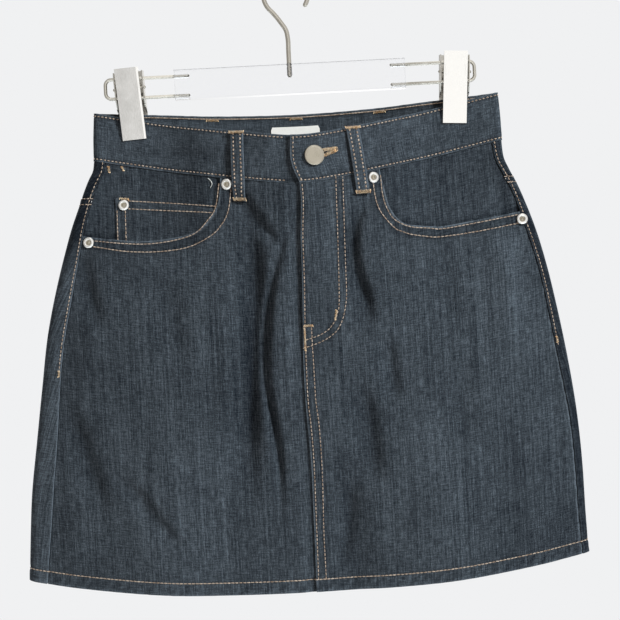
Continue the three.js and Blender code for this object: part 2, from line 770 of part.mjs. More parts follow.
// A flat plate of the clip's sheet, from an outline of y and z, standing across x
function sidePlate(outlineYZ, centreX, thickness) {
  const shape = new THREE.Shape(outlineYZ.map(([y, z]) => new THREE.Vector2(y, z)));
  const geometry = new THREE.ExtrudeGeometry(shape, { depth: thickness, bevelEnabled: false });
  geometry.rotateX(Math.PI / 2);
  geometry.rotateZ(Math.PI / 2);
  geometry.translate(centreX - thickness / 2, 0, 0);
  return toSolid(geometry);
}

function pinShape(radius, length, segments) {
  const pin = new THREE.CylinderGeometry(radius, radius, length, segments);
  pin.rotateZ(Math.PI / 2);
  return pin;
}

function clips() {
  const { width, backWidth, length, sheet, topY, jawY, tilt } = clip;
  const pivotZ = -15.8;
  const pinRadius = 1.5;
  const halfBack = backWidth / 2;
  const earX = width / 2 - 1.6;
  Object.entries(clipX).forEach(([name, middleX]) => {
    const lean = THREE.MathUtils.degToRad(tilt) * Math.sign(middleX);
    const frame = new THREE.Matrix4().makeRotationY(lean);
    const middle = new THREE.Vector3(0, 0, -length / 2).applyMatrix4(frame);
    frame.setPosition(middleX - middle.x, 0, clipTopZ);
    const placed = (solid) => {
      const geometry = fromSolid(solid);
      geometry.applyMatrix4(frame);
      return toSolid(geometry);
    };
    const pinBore = toSolid(pinShape(pinRadius + gap, backWidth + 4, 10).translate(0, 0, pivotZ));

    const frontPlate = sidePlate([
      [-topY, 0], [-topY + sheet, 0], [-jawY + sheet, -length], [-jawY, -length],
    ], 0, width);
    const rims = [-1, 1].map((side) => sidePlate([
      [-topY, 0], [-topY + sheet + 3, 0], [-jawY + sheet, -length + 2], [-jawY, -length],
    ], side * (width - sheet) / 2, sheet));
    const ears = [-1, 1].map((side) => sidePlate([
      [-topY + sheet / 2 + 0.5, pivotZ + 4.5], [0.5, pivotZ + 3.2], [2.2, pivotZ], [0.5, pivotZ - 3.2],
      [-topY + sheet / 2 + 2, pivotZ - 4.5],
    ], side * earX, sheet));
    const front = [...rims, ...ears].reduce((whole, piece) => whole.add(piece), frontPlate).subtract(pinBore);
    add('clip_' + name + '_front', fromSolid(placed(front)), 'brushedSteel');

    const backPlate = sidePlate([
      [topY, 0], [jawY, -length], [jawY - sheet, -length], [topY - sheet, 0],
    ], 0, backWidth);
    const walls = [-1, 1].map((side) => sidePlate([
      [topY - sheet / 2, 0], [-2, -1.5], [-5, -8], [-5, -26], [-1, -33], [topY - 5.6, -37],
    ], side * (halfBack - sheet / 2), sheet));
    let back = placed(walls.reduce((whole, piece) => whole.add(piece), backPlate).subtract(pinBore));
    railDrops.forEach((z) => {
      back = back.subtract(roundBore(middleX - 25, middleX + 25, z, railRadius + gap));
    });
    add('clip_' + name + '_back', fromSolid(back), 'brushedSteel');

    const pin = pinShape(pinRadius, backWidth + 1.6, 10).translate(0, 0, pivotZ).applyMatrix4(frame);
    add('clip_' + name + '_pin', pin, 'wire');
    const spring = turned([[1.9, -7], [3.3, -7], [3.3, 7], [1.9, 7], [1.9, -7]], 12);
    spring.rotateY(Math.PI / 2).translate(0, 0, pivotZ).applyMatrix4(frame);
    add('clip_' + name + '_spring', spring, 'wire');
  });
}

function rails() {
  [['left', -1], ['right', 1]].forEach(([name, side]) => {
    add('hanger_rail_' + name, rod(railRoute(side), railRadius, 6, 36), 'wire');
  });
}

frontPanels();
pocketPieces();
backPanels();
waistband();
beltLoops();
flyClosure();
fastenings();
label();
hook();
hangerBar();
rails();
clips();

export default skirt;
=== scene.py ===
import math

import bmesh
import bpy
import numpy as np
from mathutils import Matrix, Vector


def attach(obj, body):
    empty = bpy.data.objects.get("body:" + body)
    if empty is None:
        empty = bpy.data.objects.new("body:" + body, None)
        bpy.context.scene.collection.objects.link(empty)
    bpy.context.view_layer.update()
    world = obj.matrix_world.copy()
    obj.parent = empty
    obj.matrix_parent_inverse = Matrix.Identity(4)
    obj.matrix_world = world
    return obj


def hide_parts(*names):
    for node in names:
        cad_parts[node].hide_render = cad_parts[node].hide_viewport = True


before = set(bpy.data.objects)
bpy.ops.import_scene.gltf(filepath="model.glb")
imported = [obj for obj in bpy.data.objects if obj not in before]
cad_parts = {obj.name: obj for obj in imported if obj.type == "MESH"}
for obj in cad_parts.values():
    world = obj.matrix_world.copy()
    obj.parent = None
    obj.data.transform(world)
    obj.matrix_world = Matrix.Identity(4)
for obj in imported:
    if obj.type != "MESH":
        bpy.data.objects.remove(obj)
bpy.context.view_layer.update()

scene = bpy.context.scene
mm = 0.001

# All sizes below are in millimetres. A place on the skirt is given by x and by drop, the depth
# below the band's top edge at the sides. The front faces -Y.


def table(names, *rows):
    return {name: np.array([row[k] for row in rows]) for k, name in enumerate(names.split())}


def rowsOf(given):  # a table's rows, each a dictionary of plain values
    return [dict(zip(given, values)) for values in zip(*(given[name].tolist() for name in given))]


skirt = {
    "waistZ": -110,
    "bandDrop": 40.5,
    "hemDrop": 392.5,
    "hemDepth": 11,
    "cloth": 1.2,
    "gap": 0.3,
    "bandRise": 0.7,
    "bandThickness": 2.6,
    "hemRise": 0.3,
    "hemThickness": 2.7,
    "seamRise": 0.7,
    "seamStrip": 8,
    "yokeSideDrop": 69,
    "yokeCentreDrop": 101,
    "lapReach": 5,
    "lapRun": 13,
    "centreBackX": 3.4,
    "foldEase": 40,
    "ridgeRounding": 0.055,
    "clipShare": 0.82,
    "clampX": (-134.5, 138.0),
    "clampHalf": 13,
    "heldOut": 2.9,
    "cell": 2.0,  # size of the cloth's mesh cells
    "closeCell": 0.7,  # how far inside a cut edge its next row of vertices lies
}

outline = table(
    "drop left right",
    [0, -167.3, 175.2], [20, -168.8, 176.2], [42, -170.2, 176.8], [49, -171.5, 177.2],
    [56, -175.3, 178.2], [65, -179.4, 181.8], [78, -184.4, 187.8], [96, -191.6, 195.0],
    [118, -198.8, 202.2], [148, -207.6, 209.6], [185, -216.6, 216.6], [230, -223.8, 223.6],
    [275, -230.6, 228.8], [320, -237.2, 231.2], [360, -240.6, 231.6], [393, -242.8, 232.4],
)
form = table(
    "drop foldRadius frontOut backOut frontDip backDip dipPower",
    [0, 5.0, 27, 9, 30.0, 8.5, 1.12],
    [40, 5.5, 27, 10, 29.6, 9.0, 1.15],
    [110, 7.0, 25, 12, 26.0, 10.0, 1.4],
    [200, 8.0, 22, 13, 23.0, 12.0, 1.8],
    [300, 9.0, 19, 13, 20.5, 13.0, 2.1],
    [393, 9.0, 17, 12, 19.0, 14.0, 2.3],
)
centreLine = table("drop ridge", [0, 6], [40, 4.5], [110, 2], [393, 2])
lapEdge = table(
    "drop x",
    [0, -2], [12, -2.8], [20, -2.8], [27, -1.4], [33, 0.7], [40, 3.4], [48, 4.0], [87, 2.2],
    [124, 1.6], [160, 0.3], [190, -0.8], [229, -1.0], [284, 1.0], [330, 0.8], [393, 0.2],
)
seamInset = table(
    "drop left right",
    [40, 9.8, 8.5], [75, 9.5, 7.0], [110, 12.8, 8.5], [150, 15.4, 8.0],
    [220, 16.2, 9.0], [285, 18.9, 7.5], [325, 19.6, 7.5], [393, 16.4, 6.5],
)
openings = {
    -1: table(
        "x drop",
        [-62.5, 36], [-63.2, 49], [-66.2, 64], [-72.5, 75], [-83.5, 86.5], [-101, 93.6],
        [-125, 99], [-148, 101], [-172, 101.6], [-250, 102],
    ),
    1: table(
        "x drop",
        [70.6, 36], [71.9, 46], [73.6, 55], [76.2, 68], [78.8, 76], [82.8, 83], [88, 88.6],
        [95, 92], [110, 96], [122, 98.4], [150, 99.4], [183, 100.4], [250, 102],
    ),
}

# Soft troughs (depth above 0) and ridges (below 0) down the cloth: five places, evenly spaced,
# and the widths of the flank on the left and on the right
folds = rowsOf(table(
    "face top bottom x1 x2 x3 x4 x5 depth leftWidth rightWidth",
    ["front", 42, 335, -47, -37.3, -43.5, -49, -52, 10.5, 17, 7.6],
    ["front", 60, 350, -2, -24.6, -32.6, -25.5, -28, 7.2, 4.0, 3.2],
    ["front", 52, 182, 67, 47.5, 46, 54, 56, 8.0, 13, 5.2],
    ["front", 98, 182, -189, -184, -180, -175, -170, 4.5, 10, 7],
    ["front", 232, 338, -203, -195, -187, -180, -176, 4.5, 15, 9],
    ["front", 288, 360, -165, -148, -135, -121, -108, 3.4, 11, 8],
    ["front", 100, 220, 178, 176, 175, 174, 174, -4.5, 15, 10],
    ["front", 176, 242, 70, 71, 72.5, 74, 75, 4.0, 10, 5],
    ["front", 205, 316, 46, 49, 52, 54, 56, 5.6, 14, 7],
    ["front", 230, 440, -108, -112, -116, -119, -121, -6.5, 44, 34],
    ["front", 230, 440, 100, 106, 111, 115, 118, -6.5, 46, 38],
    ["front", 240, 440, 28, 31, 33, 35, 36, 4, 22, 14],
    ["front", 296, 380, 33, 32, 30, 25, 17, 3.4, 8, 5],
    ["front", 116, 214, -112, -110, -107, -105, -104, 2.4, 17, 9],
    ["front", 102, 196, 118, 121, 123, 124, 126, 2.4, 15, 10],
    ["front", 41, 100, -52, -44, -35, -25, -14, 4.4, 13, 6],
    ["front", 150, 262, -74, -73, -76, -80, -83, 2.2, 14, 8],
    ["front", 196, 290, 134, 131, 129, 128, 128, 2.6, 18, 10],
    ["back", 90, 300, -52, -46, -43, -42, -44, 4, 12, 8],
    ["back", 110, 340, 40, 46, 50, 52, 51, 4.5, 14, 10],
    ["back", 80, 230, 118, 124, 130, 135, 139, 3, 13, 9],
    ["back", 120, 260, -150, -146, -141, -137, -135, 1.6, 12, 8],
    ["back", 220, 440, -112, -116, -120, -123, -125, -4.5, 40, 40],
    ["back", 230, 440, 110, 114, 118, 121, 123, -4, 44, 44],
    ["back", 300, 380, 6, 9, 14, 19, 22, 1.5, 8, 6],
))
bandCreases = rowsOf(table(
    "face left right dropLeft dropRight depth width",
    ["front", -168, -50, 29, 23, 1.8, 5],
    ["front", 60, 172, 24, 31, 1.7, 5],
    ["front", 84, 172, 12, 18, 1.0, 4],
    ["front", -40, -6, 21, 17, 0.4, 5],
    ["front", 62, 120, 13, 9, 0.5, 5],
    ["back", -150, -40, 26, 22, 1.0, 8],
    ["back", 20, 120, 20, 24, 0.7, 7],
))


def column(rows, name, at, key="drop"):  # a smooth curve through a table's rows
    xs, ys = rows[key].astype(float), rows[name].astype(float)
    at = np.asarray(at, float)
    step = np.diff(xs)
    slope = np.diff(ys) / step
    tangent = np.empty(len(xs))
    tangent[0], tangent[-1] = slope[0], slope[-1]
    tangent[1:-1] = (slope[:-1] * step[1:] + slope[1:] * step[:-1]) / (step[:-1] + step[1:])
    i = np.clip(np.searchsorted(xs, at) - 1, 0, len(xs) - 2)
    h = step[i]
    t = np.clip((at - xs[i]) / h, 0, 1)
    u = 1 - t
    value = u * u * (1 + 2 * t) * ys[i] + t * u * u * h * tangent[i]
    value = value + t * t * (3 - 2 * t) * ys[i + 1] - t * t * u * h * tangent[i + 1]
    before = np.minimum(at - xs[0], 0) * tangent[0]
    after = np.maximum(at - xs[-1], 0) * tangent[-1]
    return value + before + after


def smooth(start, end, at):
    t = np.clip((at - start) / (end - start), 0, 1)
    return t * t * (3 - 2 * t)


def mix(a, b, t):
    return a + (b - a) * t


def bell(at, width):
    return np.exp(-((at / width) ** 2))


def foldX(side, drop):
    return np.where(side < 0, column(outline, "left", drop), column(outline, "right", drop))


def acrossShare(x, drop):  # -1 at the left fold, 0 at the centre ridge, 1 at the right fold
    ridge = column(centreLine, "ridge", drop)
    left = (x - ridge) / (ridge - column(outline, "left", drop))
    right = (x - ridge) / (column(outline, "right", drop) - ridge)
    return np.where(x < ridge, left, right)


def roundedSize(share):
    r = skirt["ridgeRounding"]
    return (np.hypot(share, r) - r) / (math.hypot(1, r) - r)


def dip(front, x, drop):
    share = acrossShare(x, drop)
    power = column(form, "dipPower", drop)
    inFront = column(form, "frontDip", drop) * (1 - roundedSize(share) ** power)
    behind = column(form, "backDip", drop) * (1 - np.abs(share) ** 1.8)
    return np.where(front, inFront, behind)


def bodyOut(front, x, drop):
    share = acrossShare(x, drop)
    tentFront = np.maximum(0, 1 - roundedSize(share) / skirt["clipShare"]) ** 1.5
    tentBack = np.maximum(0, 1 - (np.abs(share) / skirt["clipShare"]) ** 2) ** 1.5
    lens = 1 - np.abs(share) ** 2.4
    lower = smooth(20, 190, drop)
    out = np.where(front, column(form, "frontOut", drop), column(form, "backOut", drop))
    return out * mix(np.where(front, tentFront, tentBack), lens, lower)


def foldDepth(front, x, drop):
    depth = np.zeros(np.broadcast(front, x, drop).shape)
    for row in folds:
        top, bottom = row["top"], row["bottom"]
        end = (bottom - top) * 0.35
        fade = smooth(top, top + end, drop) * (1 - smooth(bottom - end, bottom, drop))
        places = {"at": np.arange(1, 6), "x": np.array([row[f"x{n}"] for n in range(1, 6)])}
        middle = column(places, "x", 1 + 4 * (drop - top) / (bottom - top), "at")
        width = np.where(x < middle, row["leftWidth"], row["rightWidth"])
        trough = row["depth"] * fade * bell(x - middle, width)
        depth += np.where(front == (row["face"] == "front"), trough, 0)
    for row in bandCreases:
        run = np.clip((x - row["left"]) / (row["right"] - row["left"]), 0, 1)
        middle = mix(row["dropLeft"], row["dropRight"], run)
        trough = row["depth"] * np.sin(math.pi * run) * bell(drop - middle, row["width"])
        depth += np.where(front == (row["face"] == "front"), trough, 0)
    return depth


def clipHold(x, drop):
    nearest = np.minimum(*[np.abs(x - middle) for middle in skirt["clampX"]])
    return (1 - smooth(skirt["clampHalf"], 62, nearest)) * (1 - smooth(24, 125, drop))


def skin(side, s, drop):  # s is the way round from a side fold: above 0 in front, below 0 behind
    side, s, drop = np.broadcast_arrays(side, s, drop)
    radius = column(form, "foldRadius", drop)
    arc = math.pi * radius / 2
    way = np.abs(s)
    turn = np.minimum(way, arc) / radius
    inset = np.where(way < arc, radius * (1 - np.cos(turn)), radius + way - arc)
    stand = radius * np.sin(turn)
    x = foldX(side, drop) - side * inset
    front = s >= 0
    out = (bodyOut(front, x, drop) - foldDepth(front, x, drop)) * smooth(0, skirt["foldEase"], inset)
    hold = clipHold(x, drop)
    y = mix(stand + out, skirt["heldOut"] * stand / radius, hold)
    z = skirt["waistZ"] - drop - dip(front, x, drop)
    return np.stack([x, np.where(front, -y, y), z], -1)


def outward(side, s, drop):
    side, s, drop = np.broadcast_arrays(side, s, drop)
    step = 0.5
    along = skin(side, s + step, drop) - skin(side, s - step, drop)
    down = skin(side, s, drop + step) - skin(side, s, drop - step)
    normal = np.cross(along, down) * side[..., None]
    return normal / np.linalg.norm(normal, axis=-1, keepdims=True)


def place(side, s, drop, lift):
    return skin(side, s, drop) + outward(side, s, drop) * np.asarray(lift)[..., None]


def wayTo(side, x, drop):
    radius = column(form, "foldRadius", drop)
    inset = np.maximum(0, side * (foldX(side, drop) - x))
    near = radius * np.arccos(np.clip(1 - inset / radius, -1, 1))
    return np.where(inset < radius, near, math.pi * radius / 2 + inset - radius)


def sideOf(x, drop):  # the side fold from which the way round to a place is measured
    return np.where(x < column(centreLine, "ridge", drop), -1, 1)


def onBack(x, drop, lift):
    side = sideOf(x, drop)
    return place(side, -wayTo(side, x, drop), drop, lift)


def seamIn(side, drop):  # how far inside the fold the side seam runs
    return column(seamInset, "left" if side < 0 else "right", drop)


def seamWay(side, drop):
    return wayTo(side, foldX(side, drop) - side * seamIn(side, drop), drop)


def arcWay(drop):
    return math.pi * column(form, "foldRadius", drop) / 2


def backCentreWay(side, drop):
    return -wayTo(side, skirt["centreBackX"], drop)


def yokeDrop(share):
    return mix(skirt["yokeSideDrop"], skirt["yokeCentreDrop"], share)


hemTop = skirt["hemDrop"] - skirt["hemDepth"]
hemStitch = hemTop + 0.5


def lapAt(drop):
    return column(lapEdge, "x", drop)


# The distance from places on the cloth to a line, above 0 on one side of it and below 0 on the other
def distanceTo(line, x, drop, sign=1):
    best = np.full(np.shape(x), 1e9)
    signed = np.zeros(np.shape(x))
    for (ax, ay), (bx, by) in zip(line[:-1], line[1:]):
        dx, dy = bx - ax, by - ay
        t = np.clip(((x - ax) * dx + (drop - ay) * dy) / (dx * dx + dy * dy), 0, 1)
        far = np.hypot(x - ax - t * dx, drop - ay - t * dy)
        turn = dx * (drop - ay) - dy * (x - ax)
        nearer = far < best
        best = np.where(nearer, far, best)
        signed = np.where(nearer, far * np.sign(turn) * sign, signed)
    return signed


def smoothLine(points, perPiece=6):  # a fine line through given points
    points = np.array(points, float)
    rows = {"at": np.arange(len(points)), "x": points[:, 0], "y": points[:, 1]}
    at = np.linspace(0, len(points) - 1, (len(points) - 1) * perPiece + 1)
    return np.stack([column(rows, "x", at, "at"), column(rows, "y", at, "at")], -1)


openingLine = {
    side: smoothLine(np.stack([rows["x"], rows["drop"]], -1)) for side, rows in openings.items()
}


def openingGap(side, x, drop):  # above 0 on the panel, below 0 in the pocket opening
    return distanceTo(openingLine[side], x, drop, side)


# How far the rows of topstitching run from the edge or seam that they follow, on the loops from the
# middle, and on the band from its top edge
rowsAt = {
    "opening": (2.6, 8.6),
    "band": (2.3, 38.4),
    "yoke": (1.8, 6.6),
    "backCentre": (1.6, 7.4),
    "sideSeam": 2.0,
    "fly": 1.8,
    "bandLap": 2.5,
    "loop": 2.9,
}
flyStitch = {
    "inner": [
        (33.9, 40.5), (32.6, 102.6), (31.3, 146), (29.6, 155), (26.6, 163), (21.8, 169),
        (15.5, 173), (8, 175.7), (3, 177),
    ],
    "outer": [
        (39.8, 40.5), (38.6, 103.5), (37.9, 139.2), (36.2, 152), (33.4, 162), (28.8, 170.3),
        (22, 176), (14, 179.8), (6.5, 182.4), (0.4, 184),
    ],
}
flyOuter = smoothLine(flyStitch["outer"])
flyInner = smoothLine(flyStitch["inner"])


def ripple(along, seed):  # uneven waves of about 9 mm
    a = np.sin(along / 1.43 + seed) + 0.7 * np.sin(along / 2.27 + 1.7 * seed)
    return (a + 0.5 * np.sin(along / 0.93 + 2.9 * seed)) / 2.2


def frontRelief(side, x, drop):
    edge = openingGap(side, x, drop)
    near, far = rowsAt["opening"]
    turned = 0.8 * (1 - smooth(far, 12.5, edge))
    turned = turned - 0.45 * bell(edge - near, 1.5) - 0.45 * bell(edge - far, 1.6)
    relief = turned * (drop < 125)
    along = x * 0.8 + drop
    relief = relief + 0.22 * ripple(along, 1.0 + side) * bell(edge - 9.5, 5)
    relief = relief + hemRelief(x, drop)
    seamSide = np.abs(x - foldX(side, drop)) - seamIn(side, drop)
    relief = relief + (0.3 * ripple(drop * 0.9, 3.1 * side) - 0.35) * bell(seamSide, 4)
    if side > 0:
        inFly = distanceTo(flyOuter, x, drop)
        flat = smooth(-1.5, 1.5, inFly) * (drop < 186)
        relief = relief + 0.35 * flat - 0.3 * bell(inFly, 1.7) * (drop < 186)
        relief = relief + 0.3 * ripple(drop, 5.3) * bell(inFly + 2, 4) * (drop < 190)
        fromLap = x - lapAt(drop)
        relief = relief + 0.3 * bell(fromLap - 4, 3.2) * smooth(170, 185, drop)
        relief = relief - 0.25 * bell(fromLap - 9.5, 2) * smooth(170, 185, drop)
        relief = relief + 0.22 * ripple(drop * 1.1, 2.2) * bell(fromLap - 11, 5) * smooth(175, 200, drop)
    else:
        fromLap = x - lapAt(drop)
        shade = 1 - smooth(150, 190, drop)
        relief = relief - 1.5 * bell(fromLap + 3.5, 5.5) * shade * smooth(38, 60, drop)
        relief = relief + 0.25 * ripple(drop * 1.1, 4.4) * bell(fromLap + 7, 5) * smooth(175, 200, drop)
    return relief


def hemRelief(x, drop):
    below = drop - hemStitch
    roping = ripple(x * 0.9 + below * 0.8, 0.4) * smooth(-3, 2, below)
    above = ripple(x * 0.8, 2.6) * bell(below + 4, 4)
    return 0.32 * smooth(-2, 3, below) - 0.4 * bell(below, 1.6) + 0.24 * roping + 0.16 * above


def lapSink(x, drop):
    deep = skirt["cloth"] + 2 * skirt["gap"] + 2 * skirt["hemRise"] * smooth(hemTop - 2, hemTop + 1, drop)
    edge = lapAt(drop)
    return -deep * smooth(edge - skirt["lapRun"], edge - 3, x)


print("skirt form ready")


# Mesh building


def finished(obj, *modifiers):  # turns live modifiers into plain mesh
    for kind, values in modifiers:
        modifier = obj.modifiers.new(kind.title(), kind)
        for key, value in values.items():
            setattr(modifier, key, value)
    depsgraph = bpy.context.evaluated_depsgraph_get()
    mesh = bpy.data.meshes.new_from_object(obj.evaluated_get(depsgraph))
    old = obj.data
    obj.modifiers.clear()
    obj.data = mesh
    if old.users == 0 and isinstance(old, bpy.types.Mesh):
        bpy.data.meshes.remove(old)
    return obj


def meshOf(name, points, faces, edges=()):  # the points are in millimetres
    mesh = bpy.data.meshes.new(name)
    mesh.from_pydata((np.array(points) * mm).tolist(), edges, faces)
    return mesh


def newPiece(name, mesh, material):
    obj = bpy.data.objects.new(name, mesh)
    scene.collection.objects.link(obj)
    mesh.materials.clear()
    mesh.materials.append(material)
    return obj


def ready(obj, slot, *replaced, soft=True):
    for polygon in obj.data.polygons:
        polygon.use_smooth = soft
    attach(obj, "root")
    if replaced:
        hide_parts(*replaced)
    return obj


def bevelled(width, segments, angle):
    corners = {"limit_method": "ANGLE", "angle_limit": math.radians(angle)}
    return "BEVEL", {"width": width * mm, "segments": segments, **corners}


# A run is a side and the ways round at which it starts and ends. The outer ends get a close column.
def clothColumns(runs, atDrop, cell):
    sides, shares, which = [], [], []
    for r, (side, start, end) in enumerate(runs):
        length = float(abs(end(atDrop) - start(atDrop)))
        share = np.linspace(0, 1, max(3, int(length / cell)) + 1)
        near = skirt["closeCell"] / length
        extra = [near] if r == 0 else []
        extra += [1 - near] if r == len(runs) - 1 else []
        share = np.unique(np.concatenate([share, extra]))
        share = share if r == 0 else share[1:]
        sides += [side] * len(share)
        shares += list(share)
        which += [r] * len(share)
    return np.array(sides), np.array(shares), np.array(which)


def clothRows(start, end, close=(), cell=None):
    rows = np.linspace(start, end, max(4, int((end - start) / (cell or skirt["cell"]))) + 1)
    near = skirt["closeCell"]
    return np.unique(np.round(np.concatenate([rows, [start + near, end - near], close]), 3))


lifts = {}  # how far each cloth piece's outer face stands off the skirt's form, for what lies on it


def clothSheet(name, runs, drops, lift, material, dropAt=None, thick=None, thickAt=None, clear=None,
               grain=-1, rim=0.3, wearAndShade=None, cell=None):
    thick = thick or skirt["cloth"]
    lifts[name] = lift
    atDrop = float(np.mean(drops if dropAt is None else dropAt(drops, 0.5)))
    sides, shares, which = clothColumns(runs, atDrop, cell or skirt["cell"])
    drop = np.repeat(drops[:, None], len(sides), 1)
    if dropAt is not None:
        drop = dropAt(drop, np.linspace(0, 1, len(sides))[None, :])
    s = np.empty_like(drop)
    for r, (side, start, end) in enumerate(runs):
        cols = which == r
        s[:, cols] = mix(start(drop[:, cols]), end(drop[:, cols]), shares[cols][None, :])
    side = np.broadcast_to(sides[None, :], drop.shape)
    x = skin(side, s, drop)[..., 0]
    points = place(side, s, drop, lift(x, drop, s, side))
    if grain == 0:
        steps = np.linalg.norm(np.diff(points[len(drops) // 2], axis=0), axis=-1)
        u = np.broadcast_to(np.concatenate([[0], np.cumsum(steps)])[None, :], drop.shape)
    else:
        u = foldX(side, drop) + grain * side * s

    def valueBy(rule, otherwise):
        return np.full(drop.shape, float(otherwise)) if rule is None else rule(x, drop, s, side)

    # the per-vertex colour shift holds pale wear and painted shade
    values = {"thick": valueBy(thickAt, 1), "wearAndShade": valueBy(wearAndShade, 0), "clear": valueBy(clear, 1)}
    obj = newPiece(name, clippedMesh(name, points * mm, np.stack([u, -drop], -1), values), material)
    group = obj.vertex_groups.new(name="thick")
    thickness = np.empty(len(obj.data.vertices))
    obj.data.attributes["thickShare"].data.foreach_get("value", thickness)
    for k, value in enumerate(thickness):
        group.add([k], float(value), "REPLACE")
    obj.data.attributes.remove(obj.data.attributes["thickShare"])
    solidify = {
        "thickness": thick * mm, "offset": -1, "use_even_offset": False,
        "use_rim": True, "vertex_group": "thick",
    }
    finished(obj, ("SOLIDIFY", solidify), bevelled(rim, 2, 50))
    obj.vertex_groups.clear()
    return obj


# A mesh from a grid of points, cut where the value named clear passes below 0
def clippedMesh(name, points, uv, values):
    rows, cols = points.shape[:2]
    clear = values["clear"].ravel()
    number = -np.ones(rows * cols, int)
    data = np.concatenate([
        points.reshape(-1, 3), uv.reshape(-1, 2), values["wearAndShade"].reshape(-1, 1),
        values["thick"].reshape(-1, 1),
    ], 1)
    kept, faces, cuts = [], [], {}

    def vertex(k):
        if number[k] < 0:
            number[k] = len(kept)
            kept.append(data[k])
        return int(number[k])

    def cut(a, b):
        key = (min(a, b), max(a, b))
        if key not in cuts:
            t = clear[a] / (clear[a] - clear[b])
            cuts[key] = len(kept)
            kept.append(data[a] * (1 - t) + data[b] * t)
        return cuts[key]

    for i in range(rows - 1):
        for j in range(cols - 1):
            ring = (i * cols + j, i * cols + j + 1, (i + 1) * cols + j + 1, (i + 1) * cols + j)
            inside = [clear[k] > 0 for k in ring]
            if all(inside):
                faces.append([vertex(k) for k in ring])
            elif any(inside):
                face = []
                for k in range(4):
                    a, b = ring[k], ring[(k + 1) % 4]
                    if clear[a] > 0:
                        face.append(vertex(a))
                    if (clear[a] > 0) != (clear[b] > 0):
                        face.append(cut(a, b))
                faces.append(face)
    kept = np.array(kept)
    mesh = bpy.data.meshes.new(name)
    mesh.from_pydata(kept[:, :3].tolist(), [], faces)
    uvLayer = mesh.uv_layers.new(name="cloth")
    corners = np.empty(len(mesh.loops), int)
    mesh.loops.foreach_get("vertex_index", corners)
    uvLayer.data.foreach_set("uv", kept[corners, 3:5].ravel())
    for label, k in (("wearAndShade", 5), ("thickShare", 6)):
        attribute = mesh.attributes.new(label, "FLOAT", "POINT")
        attribute.data.foreach_set("value", kept[:, k].copy())
    bm = bmesh.new()
    bm.from_mesh(mesh)
    bmesh.ops.remove_doubles(bm, verts=bm.verts, dist=0.00002)
    bm.faces.ensure_lookup_table()
    middle = bm.faces[len(bm.faces) // 2]
    away = -1 if middle.calc_center_median().y < 0 else 1
    if middle.normal.y * away < 0:
        bmesh.ops.reverse_faces(bm, faces=bm.faces)
    bm.to_mesh(mesh)
    bm.free()
    return mesh


print("mesh tools ready")


# Materials


def newGroup(name, inputs, outputs):
    group = bpy.data.node_groups.new(name, "ShaderNodeTree")
    for label, kind, value in inputs:
        socket = group.interface.new_socket(label, in_out="INPUT", socket_type=kind)
        if value is not None:
            socket.default_value = value
    for label, kind in outputs:
        group.interface.new_socket(label, in_out="OUTPUT", socket_type=kind)
    return group


def feed(tree, node, values):  # links what is a socket and sets what is a plain value
    for socket, source in values:
        target = node.inputs[socket]
        if isinstance(source, bpy.types.NodeSocket):
            tree.links.new(source, target)
        else:
            target.default_value = source


def adder(tree):  # a short way to add a node with its links and settings
    def add(kind, links=(), **settings):
        node = tree.nodes.new(kind)
        for key, value in settings.items():
            setattr(node, key, value)
        feed(tree, node, links)
        return node
    return add


def calc(add, operation, *terms):
    return add("ShaderNodeMath", enumerate(terms), operation=operation).outputs[0]


def noiseOf(add, spot, scale, detail):
    return add("ShaderNodeTexNoise", [("Vector", spot), ("Scale", scale), ("Detail", detail)]).outputs["Fac"]


def rangeOf(add, value, **ends):  # ends are fromMin, fromMax, toMin and toMax
    names = {"fromMin": "From Min", "fromMax": "From Max", "toMin": "To Min", "toMax": "To Max"}
    links = [("Value", value)] + [(names[end], at) for end, at in ends.items()]
    return add("ShaderNodeMapRange", links).outputs[0]


def bumpOf(add, height, strength, distance, *more):
    links = [("Height", height), ("Strength", strength), ("Distance", distance), *more]
    return add("ShaderNodeBump", links).outputs[0]


def mixOf(add, share, first, second):  # a mix of two colours
    return add("ShaderNodeMix", [("Factor", share), (6, first), (7, second)], data_type="RGBA").outputs[2]


def rampOf(add, value, *stops):  # a stop is a place from 0 to 1 and a colour
    node = add("ShaderNodeValToRGB", [(0, value)])
    ends = node.color_ramp.elements
    ends[0].position, ends[0].color = stops[0]
    ends[1].position, ends[1].color = stops[-1]
    for spot, colour in stops[1:-1]:
        ends.new(spot).color = colour
    return node.outputs[0]


def newMaterial(name):
    material = bpy.data.materials.new(name)
    material.use_nodes = True
    tree = material.node_tree

    def dress(*values):  # feeds the material's own shader
        feed(tree, tree.nodes["Principled BSDF"], values)

    return material, adder(tree), dress


denimLooks = {
    "dark": (0.0066, 0.0082, 0.0112, 1),
    "middle": (0.0307, 0.0355, 0.0415, 1),
    "pale": (0.0855, 0.0985, 0.1145, 1),
    "twillPitch": 0.9,
    "warpPitch": 0.55,
    "wearAndShadeWeight": 0.45,
    # Each layer's width and length in millimetres, its detail, and its share of the colour and of the relief
    "layers": {
        "slub": (1.7, 120.0, 3.0, 0.66, 0.4),
        "broad": (7.0, 90.0, 2.0, 0.22, 0),
        "yarn": (0.95, 9.0, 2.0, 0.80, 0.6),
        "weft": (8.0, 1.0, 2.0, 0.70, 0.5),
        "speck": (0.9, 1.1, 1.0, 0.60, 0),
        "cloud": (34.0, 30.0, 2.0, 0.22, 0),
    },
}


